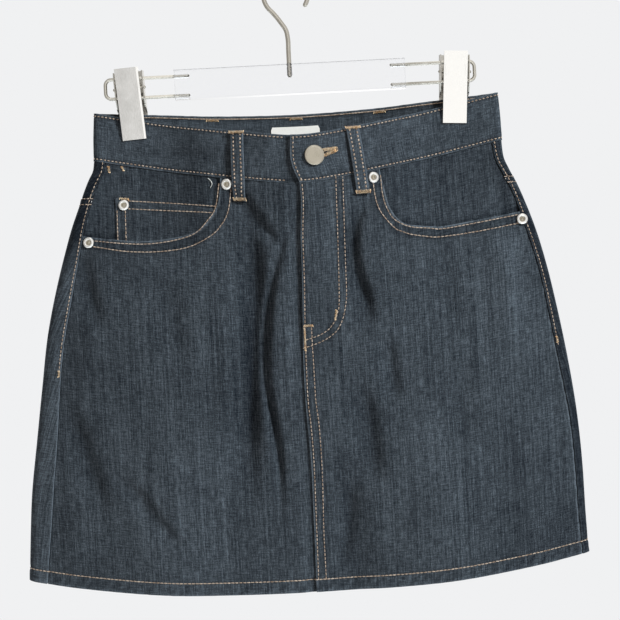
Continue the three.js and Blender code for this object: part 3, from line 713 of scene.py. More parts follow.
def denimGroup():
    group = newGroup(
        "denimWeave",
        [
            ("Place", "NodeSocketVector", None),
            ("Slubs", "NodeSocketFloat", 1.0),
            ("Wear", "NodeSocketFloat", 0.0),
            ("Tone", "NodeSocketFloat", 0.0),
        ],
        [("Color", "NodeSocketColor"), ("Height", "NodeSocketFloat"), ("Roughness", "NodeSocketFloat")],
    )
    add = adder(group)
    given = group.nodes.new("NodeGroupInput").outputs
    out = group.nodes.new("NodeGroupOutput")
    looks = denimLooks
    split = add("ShaderNodeSeparateXYZ", [(0, given["Place"])]).outputs
    pitch = looks["twillPitch"]
    slant = calc(add, "ADD", calc(add, "MULTIPLY", split[0], 2 * math.pi / pitch),
                 calc(add, "MULTIPLY", split[1], math.pi / pitch))
    twill = calc(add, "SINE", slant)
    warp = calc(add, "SINE", calc(add, "MULTIPLY", split[0], 2 * math.pi / looks["warpPitch"]))

    value = 0.47
    height = calc(add, "MULTIPLY_ADD", twill, 0.35, calc(add, "MULTIPLY", warp, 0.15))
    roughness = None
    for seed, (layer, (across, along, detail, share, relief)) in enumerate(looks["layers"].items(), 1):
        stretched = add("ShaderNodeMapping", [
            ("Vector", given["Place"]), ("Scale", (1 / across, 1 / along, 1)),
            ("Location", (seed * 7.3, seed * 3.1, seed)),
        ])
        noise = add("ShaderNodeTexNoise", [
            ("Vector", stretched.outputs[0]), ("Scale", 1.0), ("Detail", detail), ("Roughness", 0.55),
        ], noise_dimensions="2D").outputs["Fac"]
        weight = calc(add, "MULTIPLY", given["Slubs"], share) if layer == "slub" else share
        value = calc(add, "MULTIPLY_ADD", calc(add, "SUBTRACT", noise, 0.5), weight, value)
        if relief:
            height = calc(add, "MULTIPLY_ADD", noise, relief, height)
        if layer == "speck":
            roughness = calc(add, "MULTIPLY_ADD", noise, 0.15, 0.78)
    value = calc(add, "MULTIPLY_ADD", twill, 0.06, value)
    # the per-vertex attribute adds pale worn edges, painted shade beside stitching, in fold troughs and on
    # side strips, and painted light on fold ridges
    value = calc(add, "MULTIPLY_ADD", given["Wear"], looks["wearAndShadeWeight"], value)
    value = calc(add, "ADD", value, given["Tone"])
    colour = rampOf(add, value, (0.0, looks["dark"]), (0.48, looks["middle"]), (1.0, looks["pale"]))
    feed(group, out, [("Color", colour), ("Height", height), ("Roughness", roughness)])
    return group


denimWeave = denimGroup()


def denimMaterial(name, slubs=1.0, tone=0.0):
    material, add, dress = newMaterial(name)
    uv = add("ShaderNodeUVMap", uv_map="cloth")
    wearAndShade = add("ShaderNodeAttribute", attribute_name="wearAndShade")
    weave = add("ShaderNodeGroup", [
        ("Place", uv.outputs[0]), ("Wear", wearAndShade.outputs["Fac"]), ("Slubs", slubs), ("Tone", tone),
    ], node_tree=denimWeave).outputs
    dress(
        ("Base Color", weave["Color"]), ("Roughness", weave["Roughness"]),
        ("Normal", bumpOf(add, weave["Height"], 0.5, 0.00009)),
        ("Sheen Weight", 0.01), ("Sheen Roughness", 0.5), ("Sheen Tint", (0.55, 0.66, 0.8, 1)),
        ("Specular IOR Level", 0.03),
    )
    return material


denim = denimMaterial("denim")
# the band and loops get a lighter copy of the denim: painted light, with fewer slubs
bandDenim = denimMaterial("bandDenim", slubs=0.5, tone=0.045)
# the facings, coin pocket and fly shield get a darker copy of the denim: painted shade
facingDenim = denimMaterial("facingDenim", slubs=0.9, tone=-0.09)
print("denim ready")


# Cloth pieces


def frontRun(side, reach=None):  # from the side seam to the fly's edge, or as far as reach
    lap = skirt["lapReach"] if side < 0 else 0

    def end(drop):
        return wayTo(side, lapAt(drop) + lap if reach is None else reach, drop)

    return [(side, lambda drop: seamWay(side, drop) + skirt["gap"] / 2, end)]


def runAcross(left, right, face=1):  # a run between two places on the front, or on the back if face is -1
    return [(-1, lambda drop: face * wayTo(-1, left, drop), lambda drop: face * wayTo(-1, right, drop))]


def nearEdge(distance, width=1.1):
    return np.clip(bell(distance, width), 0, 1)


def panelThick(x, drop, s, side):
    hem = smooth(hemTop - 0.5, hemTop + 0.5, drop)
    return mix(skirt["cloth"] / skirt["hemThickness"], 1, hem)


def hemWear(x, drop):
    below = drop - hemStitch
    wornAndShaded = nearEdge(drop - skirt["hemDrop"], 1.6) * 0.5
    return wornAndShaded + 0.35 * ripple(x * 0.9 + below * 0.8, 0.4) * smooth(0, 3, below)


def fronts():
    turned = [hemTop - 0.5, hemTop + 0.5, hemTop + 1.5]
    rows = clothRows(skirt["bandDrop"] + skirt["gap"], skirt["hemDrop"], turned)
    for name, side in (("Left", -1), ("Right", 1)):
        def lift(x, drop, s, sides, side=side):
            return frontRelief(side, x, drop) + (lapSink(x, drop) if side < 0 else 0)

        def clear(x, drop, s, sides, side=side):
            return np.where(drop < 115, openingGap(side, x, drop), 5)

        def wearAndShade(x, drop, s, sides, side=side):
            edge = openingGap(side, x, drop)
            wornAndShaded = 1.3 * nearEdge(edge, 1.0) * (drop < 110) + hemWear(x, drop)
            # painted shade: a dark band on either side of each row of topstitching, and of the fly and lap
            # rows further down
            beside = bell(edge - 2.9, 1.5) + bell(edge - 8.8, 1.5) + 0.45 * bell(edge - 5.8, 2.2)
            beside = beside * (drop < 114)
            if side > 0:
                fromLap = x - lapAt(drop)
                wornAndShaded = wornAndShaded + 0.7 * nearEdge(fromLap, 1.2)
                wornAndShaded = wornAndShaded + 1.5 * nearEdge(s - seamWay(side, drop), 1.1) * smooth(190, 215, drop)
                fly = bell(distanceTo(flyOuter, x, drop), 1.3) + bell(distanceTo(flyInner, x, drop), 1.3)
                beside = beside + 0.8 * fly * (drop < 188)
                beside = beside + 0.8 * bell(fromLap - 2.4, 1.2)
                beside = beside + 0.6 * bell(fromLap - 8.4, 1.2) * (drop > 178)
            crease = foldDepth(True, x, drop)
            # painted shade: darker towards the lower right, and a little lighter towards the left
            lowSide = 0.26 * smooth(230, 380, drop) * smooth(60, 150, x) - 0.02 * smooth(40, 110, -x)
            wornAndShaded = wornAndShaded - 0.5 * beside - lowSide
            # painted shade in the fold troughs and painted light on the ridges
            return wornAndShaded - 0.05 * np.maximum(crease, 0) + 0.03 * np.maximum(-crease, 0)

        piece = clothSheet(
            "front" + name, frontRun(side), rows, lift, denim, thick=skirt["hemThickness"],
            thickAt=panelThick, clear=clear, wearAndShade=wearAndShade, rim=0.45,
        )
        ready(piece, "denim", "front_" + name.lower())


def facings():
    sink = skirt["cloth"] + skirt["gap"]
    rows = clothRows(skirt["bandDrop"] + skirt["gap"], 118)
    for name, side, reach in (("Left", -1, -54), ("Right", 1, 62)):
        def lift(x, drop, s, sides, side=side):
            bulge = ripple(x * 0.25 + drop * 0.07, side) * 0.35 * smooth(44, 60, drop)
            inside = smooth(2, 7, -openingGap(side, x, drop))
            near = np.maximum(1 - smooth(40, 54, drop), 1 - smooth(0, 10, np.abs(x - foldX(side, drop)) - 9))
            return -sink + bulge + (sink - 0.3) * near * inside

        def clear(x, drop, s, sides, side=side):
            return 14 - openingGap(side, x, drop)

        def wearAndShade(x, drop, s, sides, side=side):
            # painted shadow: the facing darkens just inside the opening edge
            return -0.42 * bell(openingGap(side, x, drop), 3.2)

        piece = clothSheet(
            "facing" + name, frontRun(side, reach), rows, lift, facingDenim, clear=clear, wearAndShade=wearAndShade,
        )
        ready(piece, "denim", "pocket_facing_" + name.lower())


def coinPocket():
    left, top = -153, 66.8

    def lift(x, drop, s, side):
        edge = drop - top
        raised = 0.4 * (1 - smooth(6.5, 9, edge)) - 0.25 * (bell(edge - 1.6, 1.3) + bell(edge - 7.6, 1.3))
        return -0.2 + raised + 0.15 * ripple(x, 2.0) * bell(edge - 4, 5)

    def clear(x, drop, s, side):
        within = np.minimum(x - left, drop - top)
        return np.minimum(within, 4 - openingGap(-1, x, drop))

    piece = clothSheet(
        "coinPocket", frontRun(-1, -54), clothRows(60, 118), lift, facingDenim, clear=clear, thick=1.0,
        wearAndShade=lambda x, drop, s, side: 0.8 * nearEdge(drop - top, 1.0) + 0.5 * nearEdge(x - left, 1.0),
    )
    ready(piece, "denim", "coin_pocket")


def backRuns(side):
    gap = skirt["gap"]
    return [
        (side, lambda d: seamWay(side, d) - gap / 2, lambda d: -arcWay(d)),
        (side, lambda d: -arcWay(d), lambda d: backCentreWay(side, d) + gap / 2),
    ]


def seamStand(side, s, drop):
    fromSeam = seamWay(side, drop) - s
    return skirt["seamRise"] * (1 - smooth(skirt["seamStrip"] - 1, skirt["seamStrip"] + 2, fromSeam))


def backs():
    upperRows = np.unique(np.linspace(0, 1, 31))
    lowerRows = np.linspace(0, 1, int(300 / skirt["cell"]))
    lowerRows = np.unique(np.concatenate([lowerRows, [1.02, 1.05, 1.1, 1.3, 1.6, 1.95, 2]]))

    def yokeAt(row, share):
        return mix(skirt["bandDrop"] + skirt["gap"], yokeDrop(share) - skirt["gap"] / 2, row)

    def backAt(row, share):  # rows 0 to 1 reach the hem's turned edge, 1 to 2 are the hem
        upper = mix(yokeDrop(share) + skirt["gap"] / 2, hemTop, np.minimum(row, 1))
        return np.where(row <= 1, upper, mix(hemTop, skirt["hemDrop"], row - 1))

    for name, side in (("Left", -1), ("Right", 1)):
        def wearAndShade(x, drop, s, sides, side=side):
            # painted shade on the strip that shows in front of each side fold: the right one darker all the
            # way down, the left one darker above the hip and a little lighter lower down
            shaded = (0.85 if side > 0 else 1.05 - 1.35 * smooth(80, 150, drop)) * smooth(2, 8, s)
            return 0.85 * nearEdge(seamWay(side, drop) - s, 1.0) + hemWear(x, drop) - shaded

        def yokeLift(x, drop, s, sides, side=side):
            return seamStand(side, s, drop) + 0.1 * ripple(x * 0.3 + drop * 0.1, 0.7)

        def backLift(x, drop, s, sides, side=side):
            share = np.clip((x - foldX(side, drop)) / (skirt["centreBackX"] - foldX(side, drop)), 0, 1)
            below = drop - yokeDrop(share)
            near, far = rowsAt["yoke"]
            strip = 0.5 * (1 - smooth(6.5, 9, below)) - 0.25 * bell(below - near, 1.4)
            strip = strip - 0.25 * bell(below - far, 1.4) + 0.2 * ripple(x, 3.0) * bell(below - 6, 5)
            centre = np.abs(x - skirt["centreBackX"])
            strip = strip + 0.2 * ripple(drop, 6.0) * bell(centre - 5, 5) * (s < 0)
            return np.maximum(seamStand(side, s, drop), strip * (s < 0)) + hemRelief(x, drop)

        yoke = clothSheet(
            "yoke" + name, backRuns(side), upperRows, yokeLift, denim, dropAt=yokeAt, grain=1, wearAndShade=wearAndShade,
        )
        ready(yoke, "denim", "yoke_" + name.lower())
        back = clothSheet(
            "back" + name, backRuns(side), lowerRows, backLift, denim, dropAt=backAt, grain=1,
            thick=skirt["hemThickness"], thickAt=panelThick, wearAndShade=wearAndShade, rim=0.45,
        )
        ready(back, "denim", "back_" + name.lower())


buttonAt = (16.7, 18.7)  # the button's middle, as x and drop


def waistband():
    sink = skirt["bandThickness"] + skirt["gap"]
    hole = {"eye": 3.5, "slitEnd": (35, 16.5), "slitHalf": 0.6}

    def lift(x, drop, s, side):
        under = np.where((side < 0) & (s > 0), -sink * smooth(-24, -6, x), 0)
        top, low = (drop - at for at in rowsAt["band"])
        rows = -0.3 * bell(top, 1.3) - 0.35 * bell(low, 1.4)
        puffs = 0.16 * ripple(x * 0.8, 1.3) * bell(top, 3) + 0.22 * ripple(x * 0.8, 4.3) * bell(low, 4)
        return skirt["bandRise"] + under + rows + puffs

    def clear(x, drop, s, side):
        onLap = (side > 0) & (s > 0)
        (startX, startDrop), (endX, endDrop) = buttonAt, hole["slitEnd"]
        eye = np.hypot(x - startX, drop - startDrop) - hole["eye"]
        t = np.clip((x - startX) / (endX - startX), 0, 1)
        slit = np.hypot(x - mix(startX, endX, t), drop - mix(startDrop, endDrop, t)) - hole["slitHalf"]
        return np.where(onLap, np.minimum(eye, slit), 5)

    def wearAndShade(x, drop, s, side):
        wornAndShaded = 0.5 * nearEdge(drop, 1.2) + 0.35 * nearEdge(drop - skirt["bandDrop"], 1.0)
        # painted shade beside the band's two rows of topstitching
        wornAndShaded = wornAndShaded - 0.4 * bell(drop - 2.7, 1.3) - 0.5 * bell(drop - 38.0, 1.4)
        # painted shade in the band's crease troughs
        wornAndShaded = wornAndShaded - 0.12 * np.maximum(foldDepth(s > 0, x, drop), 0)
        return wornAndShaded + np.where((side > 0) & (s > 0), 0.8 * nearEdge(x - lapAt(drop), 1.4), 0)

    runs = [
        (-1, lambda d: wayTo(-1, 34, d), arcWay),
        (-1, arcWay, lambda d: -arcWay(d)),
        (-1, lambda d: -arcWay(d), lambda d: backCentreWay(-1, d)),
        (1, lambda d: backCentreWay(1, d), lambda d: -arcWay(d)),
        (1, lambda d: -arcWay(d), arcWay),
        (1, arcWay, lambda d: wayTo(1, lapAt(d), d)),
    ]
    cell = skirt["cell"] * 0.75
    piece = clothSheet(
        "bandCloth", runs, clothRows(0, skirt["bandDrop"], cell=cell), lift, bandDenim,
        thick=skirt["bandThickness"], clear=clear, wearAndShade=wearAndShade, grain=0, rim=0.8, cell=cell,
    )
    ready(piece, "denim", "waistband")


beltLoop = {"width": 11, "top": 0.5, "bottom": 58.5, "arch": 1.6, "thick": 1.8}
loopPlaces = rowsOf(table(
    "name node face high low",
    ["loopFrontLeft", "belt_loop_front_left", 1, -46.2, -46.9],
    ["loopFrontRight", "belt_loop_front_right", 1, 49.4, 56.0],
    ["loopBackLeft", "belt_loop_back_left", -1, -68.4, -70.5],
    ["loopBackCentre", "belt_loop_back_centre", -1, 3.4, 3.4],
    ["loopBackRight", "belt_loop_back_right", -1, 75.2, 77.3],
))


def beltLoops():
    top, bottom, half = beltLoop["top"], beltLoop["bottom"], beltLoop["width"] / 2
    cell = skirt["cell"] * 0.5
    for loop in loopPlaces:
        face, high, low = loop["face"], loop["high"], loop["low"]
        side = -1 if high < 0 else 1

        def way(edge, side=side, face=face, high=high, low=low):
            shift = side * face * edge * half
            return lambda drop: face * wayTo(side, mix(high, low, drop / bottom) - shift, drop)

        def lift(x, drop, s, sides, high=high, low=low):
            share = np.clip(drop / bottom, 0, 1)
            seat = mix(skirt["bandRise"], 0.2, smooth(0.7, 1, share))
            off = np.abs(x - mix(high, low, share))
            crown = 0.35 * (1 - (off / half) ** 2) - 0.3 * bell(off - 2.6, 0.9)
            arch = beltLoop["arch"] * np.sin(math.pi * share) ** 0.7
            return seat + skirt["gap"] + arch + beltLoop["thick"] + crown - 0.2

        def wearAndShade(x, drop, s, sides, high=high, low=low):
            return 0.8 * nearEdge(np.abs(x - mix(high, low, drop / bottom)) - half, 1.0)

        piece = clothSheet(
            loop["name"], [(side, way(-1), way(1))], clothRows(top, bottom, cell=cell), lift, bandDenim,
            thick=beltLoop["thick"], rim=0.6, grain=-face, wearAndShade=wearAndShade, cell=cell,
        )
        ready(piece, "denim", loop["node"])


fronts()
facings()
coinPocket()
backs()
waistband()
beltLoops()
print("cloth ready")


# Thread


threadLooks = {
    "topstitch": {"colour": (0.18, 0.115, 0.075, 1), "pale": (0.44, 0.335, 0.26, 1)},
    "tack": {"colour": (0.74, 0.42, 0.20, 1), "pale": (0.97, 0.74, 0.49, 1)},
    "label": {"colour": (0.42, 0.41, 0.38, 1), "pale": (0.66, 0.65, 0.62, 1)},
    "pitch": 3.25,
    "length": 2.4,
    "radius": 0.54,
    "rise": 0.12,
}


def threadMaterial(name):
    looks = threadLooks[name]
    material, add, dress = newMaterial(name + "Thread")
    spot = add("ShaderNodeTexCoord").outputs["Object"]
    colour = rampOf(add, noiseOf(add, spot, 260.0, 2.0), (0.36, looks["colour"]), (0.68, looks["pale"]))
    dress(
        ("Base Color", colour), ("Normal", bumpOf(add, noiseOf(add, spot, 2600.0, 1.0), 0.5, 0.0002)),
        ("Roughness", 0.6), ("Sheen Weight", 0.2),
    )
    return material


topstitchThread = threadMaterial("topstitch")
labelThread = threadMaterial("label")
tackThread = threadMaterial("tack")


def stitchTree():  # lays one short capsule of thread at each pitch along the rows it is given
    tree = bpy.data.node_groups.new("stitchRow", "GeometryNodeTree")
    new = tree.interface.new_socket
    new("Geometry", in_out="INPUT", socket_type="NodeSocketGeometry")
    for label, value in (("Pitch", 0.0028), ("Length", 0.0022), ("Radius", 0.0004), ("Lean", 0.1)):
        new(label, in_out="INPUT", socket_type="NodeSocketFloat").default_value = value
    new("Seed", in_out="INPUT", socket_type="NodeSocketInt").default_value = 7
    new("Thread", in_out="INPUT", socket_type="NodeSocketMaterial")
    new("Geometry", in_out="OUTPUT", socket_type="NodeSocketGeometry")
    add = adder(tree)
    given = tree.nodes.new("NodeGroupInput").outputs
    out = tree.nodes.new("NodeGroupOutput")

    def made(kind, *links, **settings):  # the first thing that a new node puts out
        return add(kind, links, **settings).outputs[0]

    def threeOf(*values):
        return made("ShaderNodeCombineXYZ", *enumerate(values))

    rows = made("GeometryNodeMeshToCurve", ("Mesh", given["Geometry"]))
    even = made("GeometryNodeResampleCurve", ("Curve", rows), ("Length", given["Pitch"]), mode="LENGTH")
    spots = add("GeometryNodeCurveToPoints", [("Curve", even)], mode="EVALUATED").outputs
    ball = made("GeometryNodeMeshUVSphere", ("Segments", 6), ("Rings", 5), ("Radius", 1.0))
    size = threeOf(given["Radius"], given["Radius"], calc(add, "MULTIPLY", given["Length"], 0.5))
    capsule = made("GeometryNodeTransform", ("Geometry", ball), ("Scale", size))
    least = threeOf(*[calc(add, "MULTIPLY", given["Lean"], -1.0)] * 3)
    most = threeOf(*[given["Lean"]] * 3)
    lean = made(
        "FunctionNodeRandomValue", (0, least), (1, most), ("Seed", given["Seed"]), data_type="FLOAT_VECTOR",
    )
    along = made("FunctionNodeAlignRotationToVector", ("Vector", spots["Tangent"]), axis="Z")
    leaning = made("FunctionNodeEulerToRotation", (0, lean))
    turned = made("FunctionNodeRotateRotation", (0, along), (1, leaning), rotation_space="LOCAL")
    laid = made(
        "GeometryNodeInstanceOnPoints",
        ("Points", spots["Points"]), ("Instance", capsule), ("Rotation", turned),
    )
    real = made("GeometryNodeRealizeInstances", (0, laid))
    feed(tree, out, [(0, made("GeometryNodeSetMaterial", (0, real), ("Material", given["Thread"])))])
    return tree


stitchRow = stitchTree()


def laidBy(tree, name, mesh, material, **inputs):  # runs a tree on a mesh and keeps plain mesh
    obj = bpy.data.objects.new(name, mesh)
    scene.collection.objects.link(obj)
    modifier = obj.modifiers.new("Rows", "NODES")
    modifier.node_group = tree
    for item in tree.interface.items_tree:
        if item.in_out == "INPUT" and item.name in inputs:
            modifier[item.identifier] = inputs[item.name]
    finished(obj)
    if not obj.data.materials:
        obj.data.materials.append(material)
    return obj


def rowMesh(name, rows):
    edges, start = [], 0
    for row in rows:
        edges += [(start + k, start + k + 1) for k in range(len(row) - 1)]
        start += len(row)
    return meshOf(name, np.concatenate(rows), [], edges)


def onPiece(piece, side, s, drops, rise):  # places that stand above a cloth piece's outer face
    side, s, drops = np.broadcast_arrays(side, s, drops)
    x = skin(side, s, drops)[..., 0]
    return place(side, s, drops, lifts[piece](x, drops, s, side) + rise)


def frontRow(piece, points, perPiece=8, rise=None):
    x, drop = smoothLine(points, perPiece).T
    side = sideOf(x, drop)
    s = wayTo(side, x, drop)
    stand = lifts[piece](x, drop, s, side) + (threadLooks["rise"] if rise is None else rise)
    return place(side, s, drop, stand)


def sewRows(name, rows, pitch=None, length=None, radius=None, lean=0.1, seed=7):
    looks = threadLooks
    obj = laidBy(
        stitchRow, name, rowMesh(name, rows), topstitchThread,
        Pitch=(pitch or looks["pitch"]) * mm, Length=(length or looks["length"]) * mm,
        Radius=(radius or looks["radius"]) * mm, Lean=lean, Seed=seed, Thread=topstitchThread,
    )
    ready(obj, "thread")


def pocketRows():
    lines = {
        "frontLeft": [
            [(-64.1, 47), (-67.9, 66.4), (-74.6, 77), (-85.5, 88.7), (-102.5, 96), (-125.6, 101.5),
             (-148.1, 103.6), (-173.5, 104.3)],
            [(-53.7, 47), (-57.5, 68.3), (-64.1, 80.8), (-73.6, 90.5), (-92, 100.8), (-116.4, 106.8),
             (-143.7, 109.6), (-172, 109)],
        ],
        "frontRight": [
            [(71.5, 47), (72.6, 63.2), (75.4, 74), (80.5, 83.9), (88.8, 90.6), (97, 94.3), (111, 97.9),
             (121.9, 100.5), (149.9, 101.6), (185, 102.7)],
            [(64.6, 47), (67.1, 67.5), (72.1, 79.7), (80.9, 91.7), (86.3, 95.6), (94.6, 99.8),
             (105.5, 103.3), (117.9, 106.4), (149.3, 108.6), (186, 109.6)],
        ],
        "coinPocket": [
            [(-141.4, 68.4), (-120, 66.9), (-95, 65.6), (-68.2, 64.9)],
            [(-141.7, 74.7), (-120, 73.2), (-95, 71.6), (-69.5, 70.4)],
            [(-152, 78.6), (-152, 101)],
            [(-145, 77.7), (-145, 101)],
        ],
    }
    rows = [frontRow(piece, line) for piece, given in lines.items() for line in given]
    sewRows("stitchesPockets", rows, seed=3, length=3.2, radius=0.46, lean=0.07)


def flyRows():
    lap = [(float(lapAt(d)) + rowsAt["fly"], d) for d in np.linspace(43, 165, 13)]
    seamLeft = [(1.6, 168), (1.4, 190), (1.2, 228.7), (2.6, 251), (3.4, 283.6), (2.9, 329.6), (2.2, 381)]
    seamRight = [
        (7.2, 168), (7.2, 182.7), (7.4, 199.9), (7.6, 229), (9.3, 251.4), (9.9, 290.8), (8.6, 342.6),
        (8.6, 381),
    ]
    lines = [flyStitch["inner"], flyStitch["outer"], lap, seamLeft, seamRight]
    sewRows("stitchesFly", [frontRow("frontRight", line) for line in lines], seed=11, length=2.6, radius=0.46)


def bandRoute(drop, fromX=-10.0, count=60):  # round the band from the lap, by the left side and the back
    arc = float(arcWay(drop))
    legs = [
        (-1, float(wayTo(-1, fromX, drop)), arc, count),
        (-1, arc, -arc, 14),
        (-1, -arc, float(backCentreWay(-1, drop)), count),
        (1, float(backCentreWay(1, drop)), -arc, count),
        (1, -arc, arc, 14),
        (1, arc, float(wayTo(1, lapAt(drop) + 2.2, drop)), count),
    ]
    side = np.concatenate([np.full(n, leg) for leg, _, _, n in legs])
    s = np.concatenate([np.linspace(a, b, n, endpoint=k == 5) for k, (_, a, b, n) in enumerate(legs)])
    return side, s


def bandRow(drop, rise=None, fromX=-10.0):
    side, s = bandRoute(drop, fromX)
    return onPiece("bandCloth", side, s, float(drop), threadLooks["rise"] if rise is None else rise)


def bandRows():
    lapRow = [(float(lapAt(d)) + rowsAt["bandLap"], d) for d in np.linspace(3.5, 37.4, 12)]
    lapStitches = onLap(smoothLine(lapRow), skirt["bandRise"] + threadLooks["rise"])
    rows = [*(bandRow(at) for at in rowsAt["band"]), lapStitches]
    sewRows("stitchesBand", rows, seed=5, length=2.2, lean=0.16)
    inside = -skirt["bandThickness"] - 0.1
    chain = bandRow(2.2, rise=inside)
    behind = chain[len(chain) // 4: -len(chain) // 4]
    sewRows("chainStitchInside", [behind], pitch=2.6, length=3.3, radius=0.52, lean=0.04)


def seamRows():
    rows = []
    for side, name in ((-1, "Left"), (1, "Right")):
        for piece, drops in (("yoke", np.linspace(41.5, 68, 8)), ("back", np.linspace(70, 214, 30))):
            s = seamWay(side, drops) - rowsAt["sideSeam"]
            rows.append(onPiece(piece + name, side, s, drops, 0.1))
        share = np.linspace(0, 1, 60)
        for offset in rowsAt["yoke"]:
            drops = yokeDrop(share) + offset
            s = mix(seamWay(side, drops) - 0.5, backCentreWay(side, drops) + 0.3, share)
            rows.append(onPiece("back" + name, side, s, drops, 0.1))
    drops = np.linspace(skirt["yokeCentreDrop"] + 1, hemTop, 60)
    for offset in rowsAt["backCentre"]:
        rows.append(onPiece("backRight", 1, backCentreWay(1, drops) - offset, drops, 0.1))
    sewRows("stitchesSeams", rows, seed=9, length=2.6, radius=0.44)


def hemRow():
    rows = []
    for side, name in ((-1, "Left"), (1, "Right")):
        reach = float(lapAt(hemStitch)) + (-1.0 if side < 0 else 0.6)
        seam = float(seamWay(side, hemStitch))
        front = np.linspace(float(wayTo(side, reach, hemStitch)), seam + 0.3, 90)
        back = np.linspace(seam - 0.3, float(backCentreWay(side, hemStitch)) + 0.3, 110)
        rows.append(onPiece("front" + name, side, front, hemStitch, 0.16))
        rows.append(onPiece("back" + name, side, back, hemStitch, 0.16))
    sewRows("stitchesHem", rows, seed=13, length=3.25, radius=0.48, lean=0.08)


def loopPoints(loop, offset, drops, rise):
    side = -1 if loop["high"] < 0 else 1
    x = mix(loop["high"], loop["low"], drops / beltLoop["bottom"]) + offset
    return onPiece(loop["name"], side, loop["face"] * wayTo(side, x, drops), drops, rise)


def loopRows():
    drops = np.linspace(3, 56, 24)
    offsets = (-rowsAt["loop"], rowsAt["loop"])
    rows = [loopPoints(loop, offset, drops, 0.1) for loop in loopPlaces for offset in offsets]
    sewRows("stitchesLoops", rows, seed=17, length=2.1, radius=0.74, lean=0.14)


def tackBar(start, end, half, pitch=0.42):  # close stitches from start to end, half their width to each side
    start, end, half = np.array(start), np.array(end), np.array(half)
    count = max(8, int(np.linalg.norm(end - start) / pitch))
    turns = np.arange(count + 1)
    return start + (end - start) * (turns / count)[:, None] + half * np.where(turns % 2, 1, -1)[:, None]


def rounds(routes, radius, sides):  # round rods along routes of points, with domed ends
    points, faces = [], []
    around = np.linspace(0, 2 * math.pi, sides, endpoint=False)
    for route in routes:
        route = np.asarray(route, float)
        way = np.gradient(route, axis=0)
        way /= np.linalg.norm(way, axis=1, keepdims=True)
        across = np.cross(way[0], (0.31, 0.17, 0.93))
        if np.linalg.norm(across) < 0.2:
            across = np.cross(way[0], (0.93, 0.31, 0.17))
        rings = []
        for k, spot in enumerate(route):
            across = across - way[k] * np.dot(across, way[k])
            across /= np.linalg.norm(across)
            up = np.cross(way[k], across)
            ring = np.cos(around)[:, None] * across + np.sin(around)[:, None] * up
            domes = [(-0.7, 0.7)] * (k == 0) + [(0, 1)] + [(0.7, 0.7)] * (k == len(route) - 1)
            rings += [spot + way[k] * radius * ahead + ring * radius * size for ahead, size in domes]
        start = len(points)
        points += [*np.concatenate(rings), route[0] - way[0] * radius, route[-1] + way[-1] * radius]
        last = start + len(rings) * sides
        for r in range(len(rings) - 1):
            a, b = start + r * sides, start + (r + 1) * sides
            faces += [(a + j, a + (j + 1) % sides, b + (j + 1) % sides, b + j) for j in range(sides)]
        faces += [(last, start + (j + 1) % sides, start + j) for j in range(sides)]
        faces += [(last + 1, last - sides + j, last - sides + (j + 1) % sides) for j in range(sides)]
    return np.array(points), faces


def rodPiece(name, routes, radius, material, sides=6):
    return newPiece(name, meshOf(name, *rounds(routes, radius, sides)), material)


def frontTack(piece, a, b, half, rise):  # a and b are (x, drop) ends, half the bar's half width
    line = frontRow(piece, [a, b], 1, rise)
    normal = outward(1, wayTo(1, a[0], a[1]), a[1])
    way = line[-1] - line[0]
    across = np.cross(normal, way)
    across = across / np.linalg.norm(across) * half
    return tackBar(line[0], line[-1], across)


def tacks():
    routes = []
    for loop in loopPlaces:
        for drop, half in ((1.3, 1.1), (56.8, 1.5)):
            drops = np.array([drop, drop])
            a = loopPoints(loop, -6.2, drops, 0.05)[0]
            b = loopPoints(loop, 6.2, drops, 0.05)[0]
            level = (a[2] + b[2]) / 2
            a[2], b[2] = mix(a[2], level, 0.75), mix(b[2], level, 0.75)
            middle = loopPoints(loop, 0, drops, 0.55)[0]
            top, low = loopPoints(loop, 0, np.array([drop, drop + 1.0]), 0.25)
            lift = middle - (a + b) / 2
            routes.append(tackBar(a + lift, b + lift, (low - top) / np.linalg.norm(low - top) * half))
    inside = skirt["bandRise"] - skirt["bandThickness"] - 0.25
    for loop in loopPlaces:
        if loop["face"] < 0:
            ends = [onBack(loop["high"] + reach, 3.2, inside) for reach in (-5.2, 5.2)]
            routes.append(tackBar(*ends, (0, 0, 1.0)))
    for piece, start, end, half, rise in (
        ("frontRight", (0.9, 165.2), (8.6, 165.2), 0.9, 0.25),
        ("frontRight", (1.5, 167.5), (1.2, 186.5), 0.8, 0.25),
        ("frontRight", (28.8, 153.5), (27.2, 161.6), 0.8, 0.25),
        ("coinPocket", (-149.5, 67.4), (-141.6, 67.0), 0.9, 0.25),
        ("facingLeft", (-157.6, 43.0), (-157.2, 48.2), 0.9, 0.4),
        ("facingLeft", (-146.4, 41.6), (-144.9, 45.0), 0.8, 0.4),
    ):
        routes.append(frontTack(piece, start, end, half, rise))
    for side, name, drop in ((-1, "Left", 214.0), (1, "Right", 208.0)):
        drops = np.array([drop, drop + 5.0])
        ends = onPiece("back" + name, side, seamWay(side, drops) - rowsAt["sideSeam"], drops, 0.25)
        routes.append(tackBar(*ends, (0.9, 0, 0)))
    ready(rodPiece("barTacks", routes, 0.31, tackThread), "thread")
    end = frontRow("facingLeft", [(-72.9, 42.4), (-70.6, 44.4), (-70.0, 47.0), (-71.4, 49.6)], 5, 0.6)
    ready(rodPiece("looseThreadEnd", [end], 0.34, labelThread), "thread")


def onLap(points, lift):  # points of x and drop on the lapped end of the band
    points = np.array(points, float)
    return place(1, wayTo(1, points[:, 0], points[:, 1]), points[:, 1], np.full(len(points), lift))


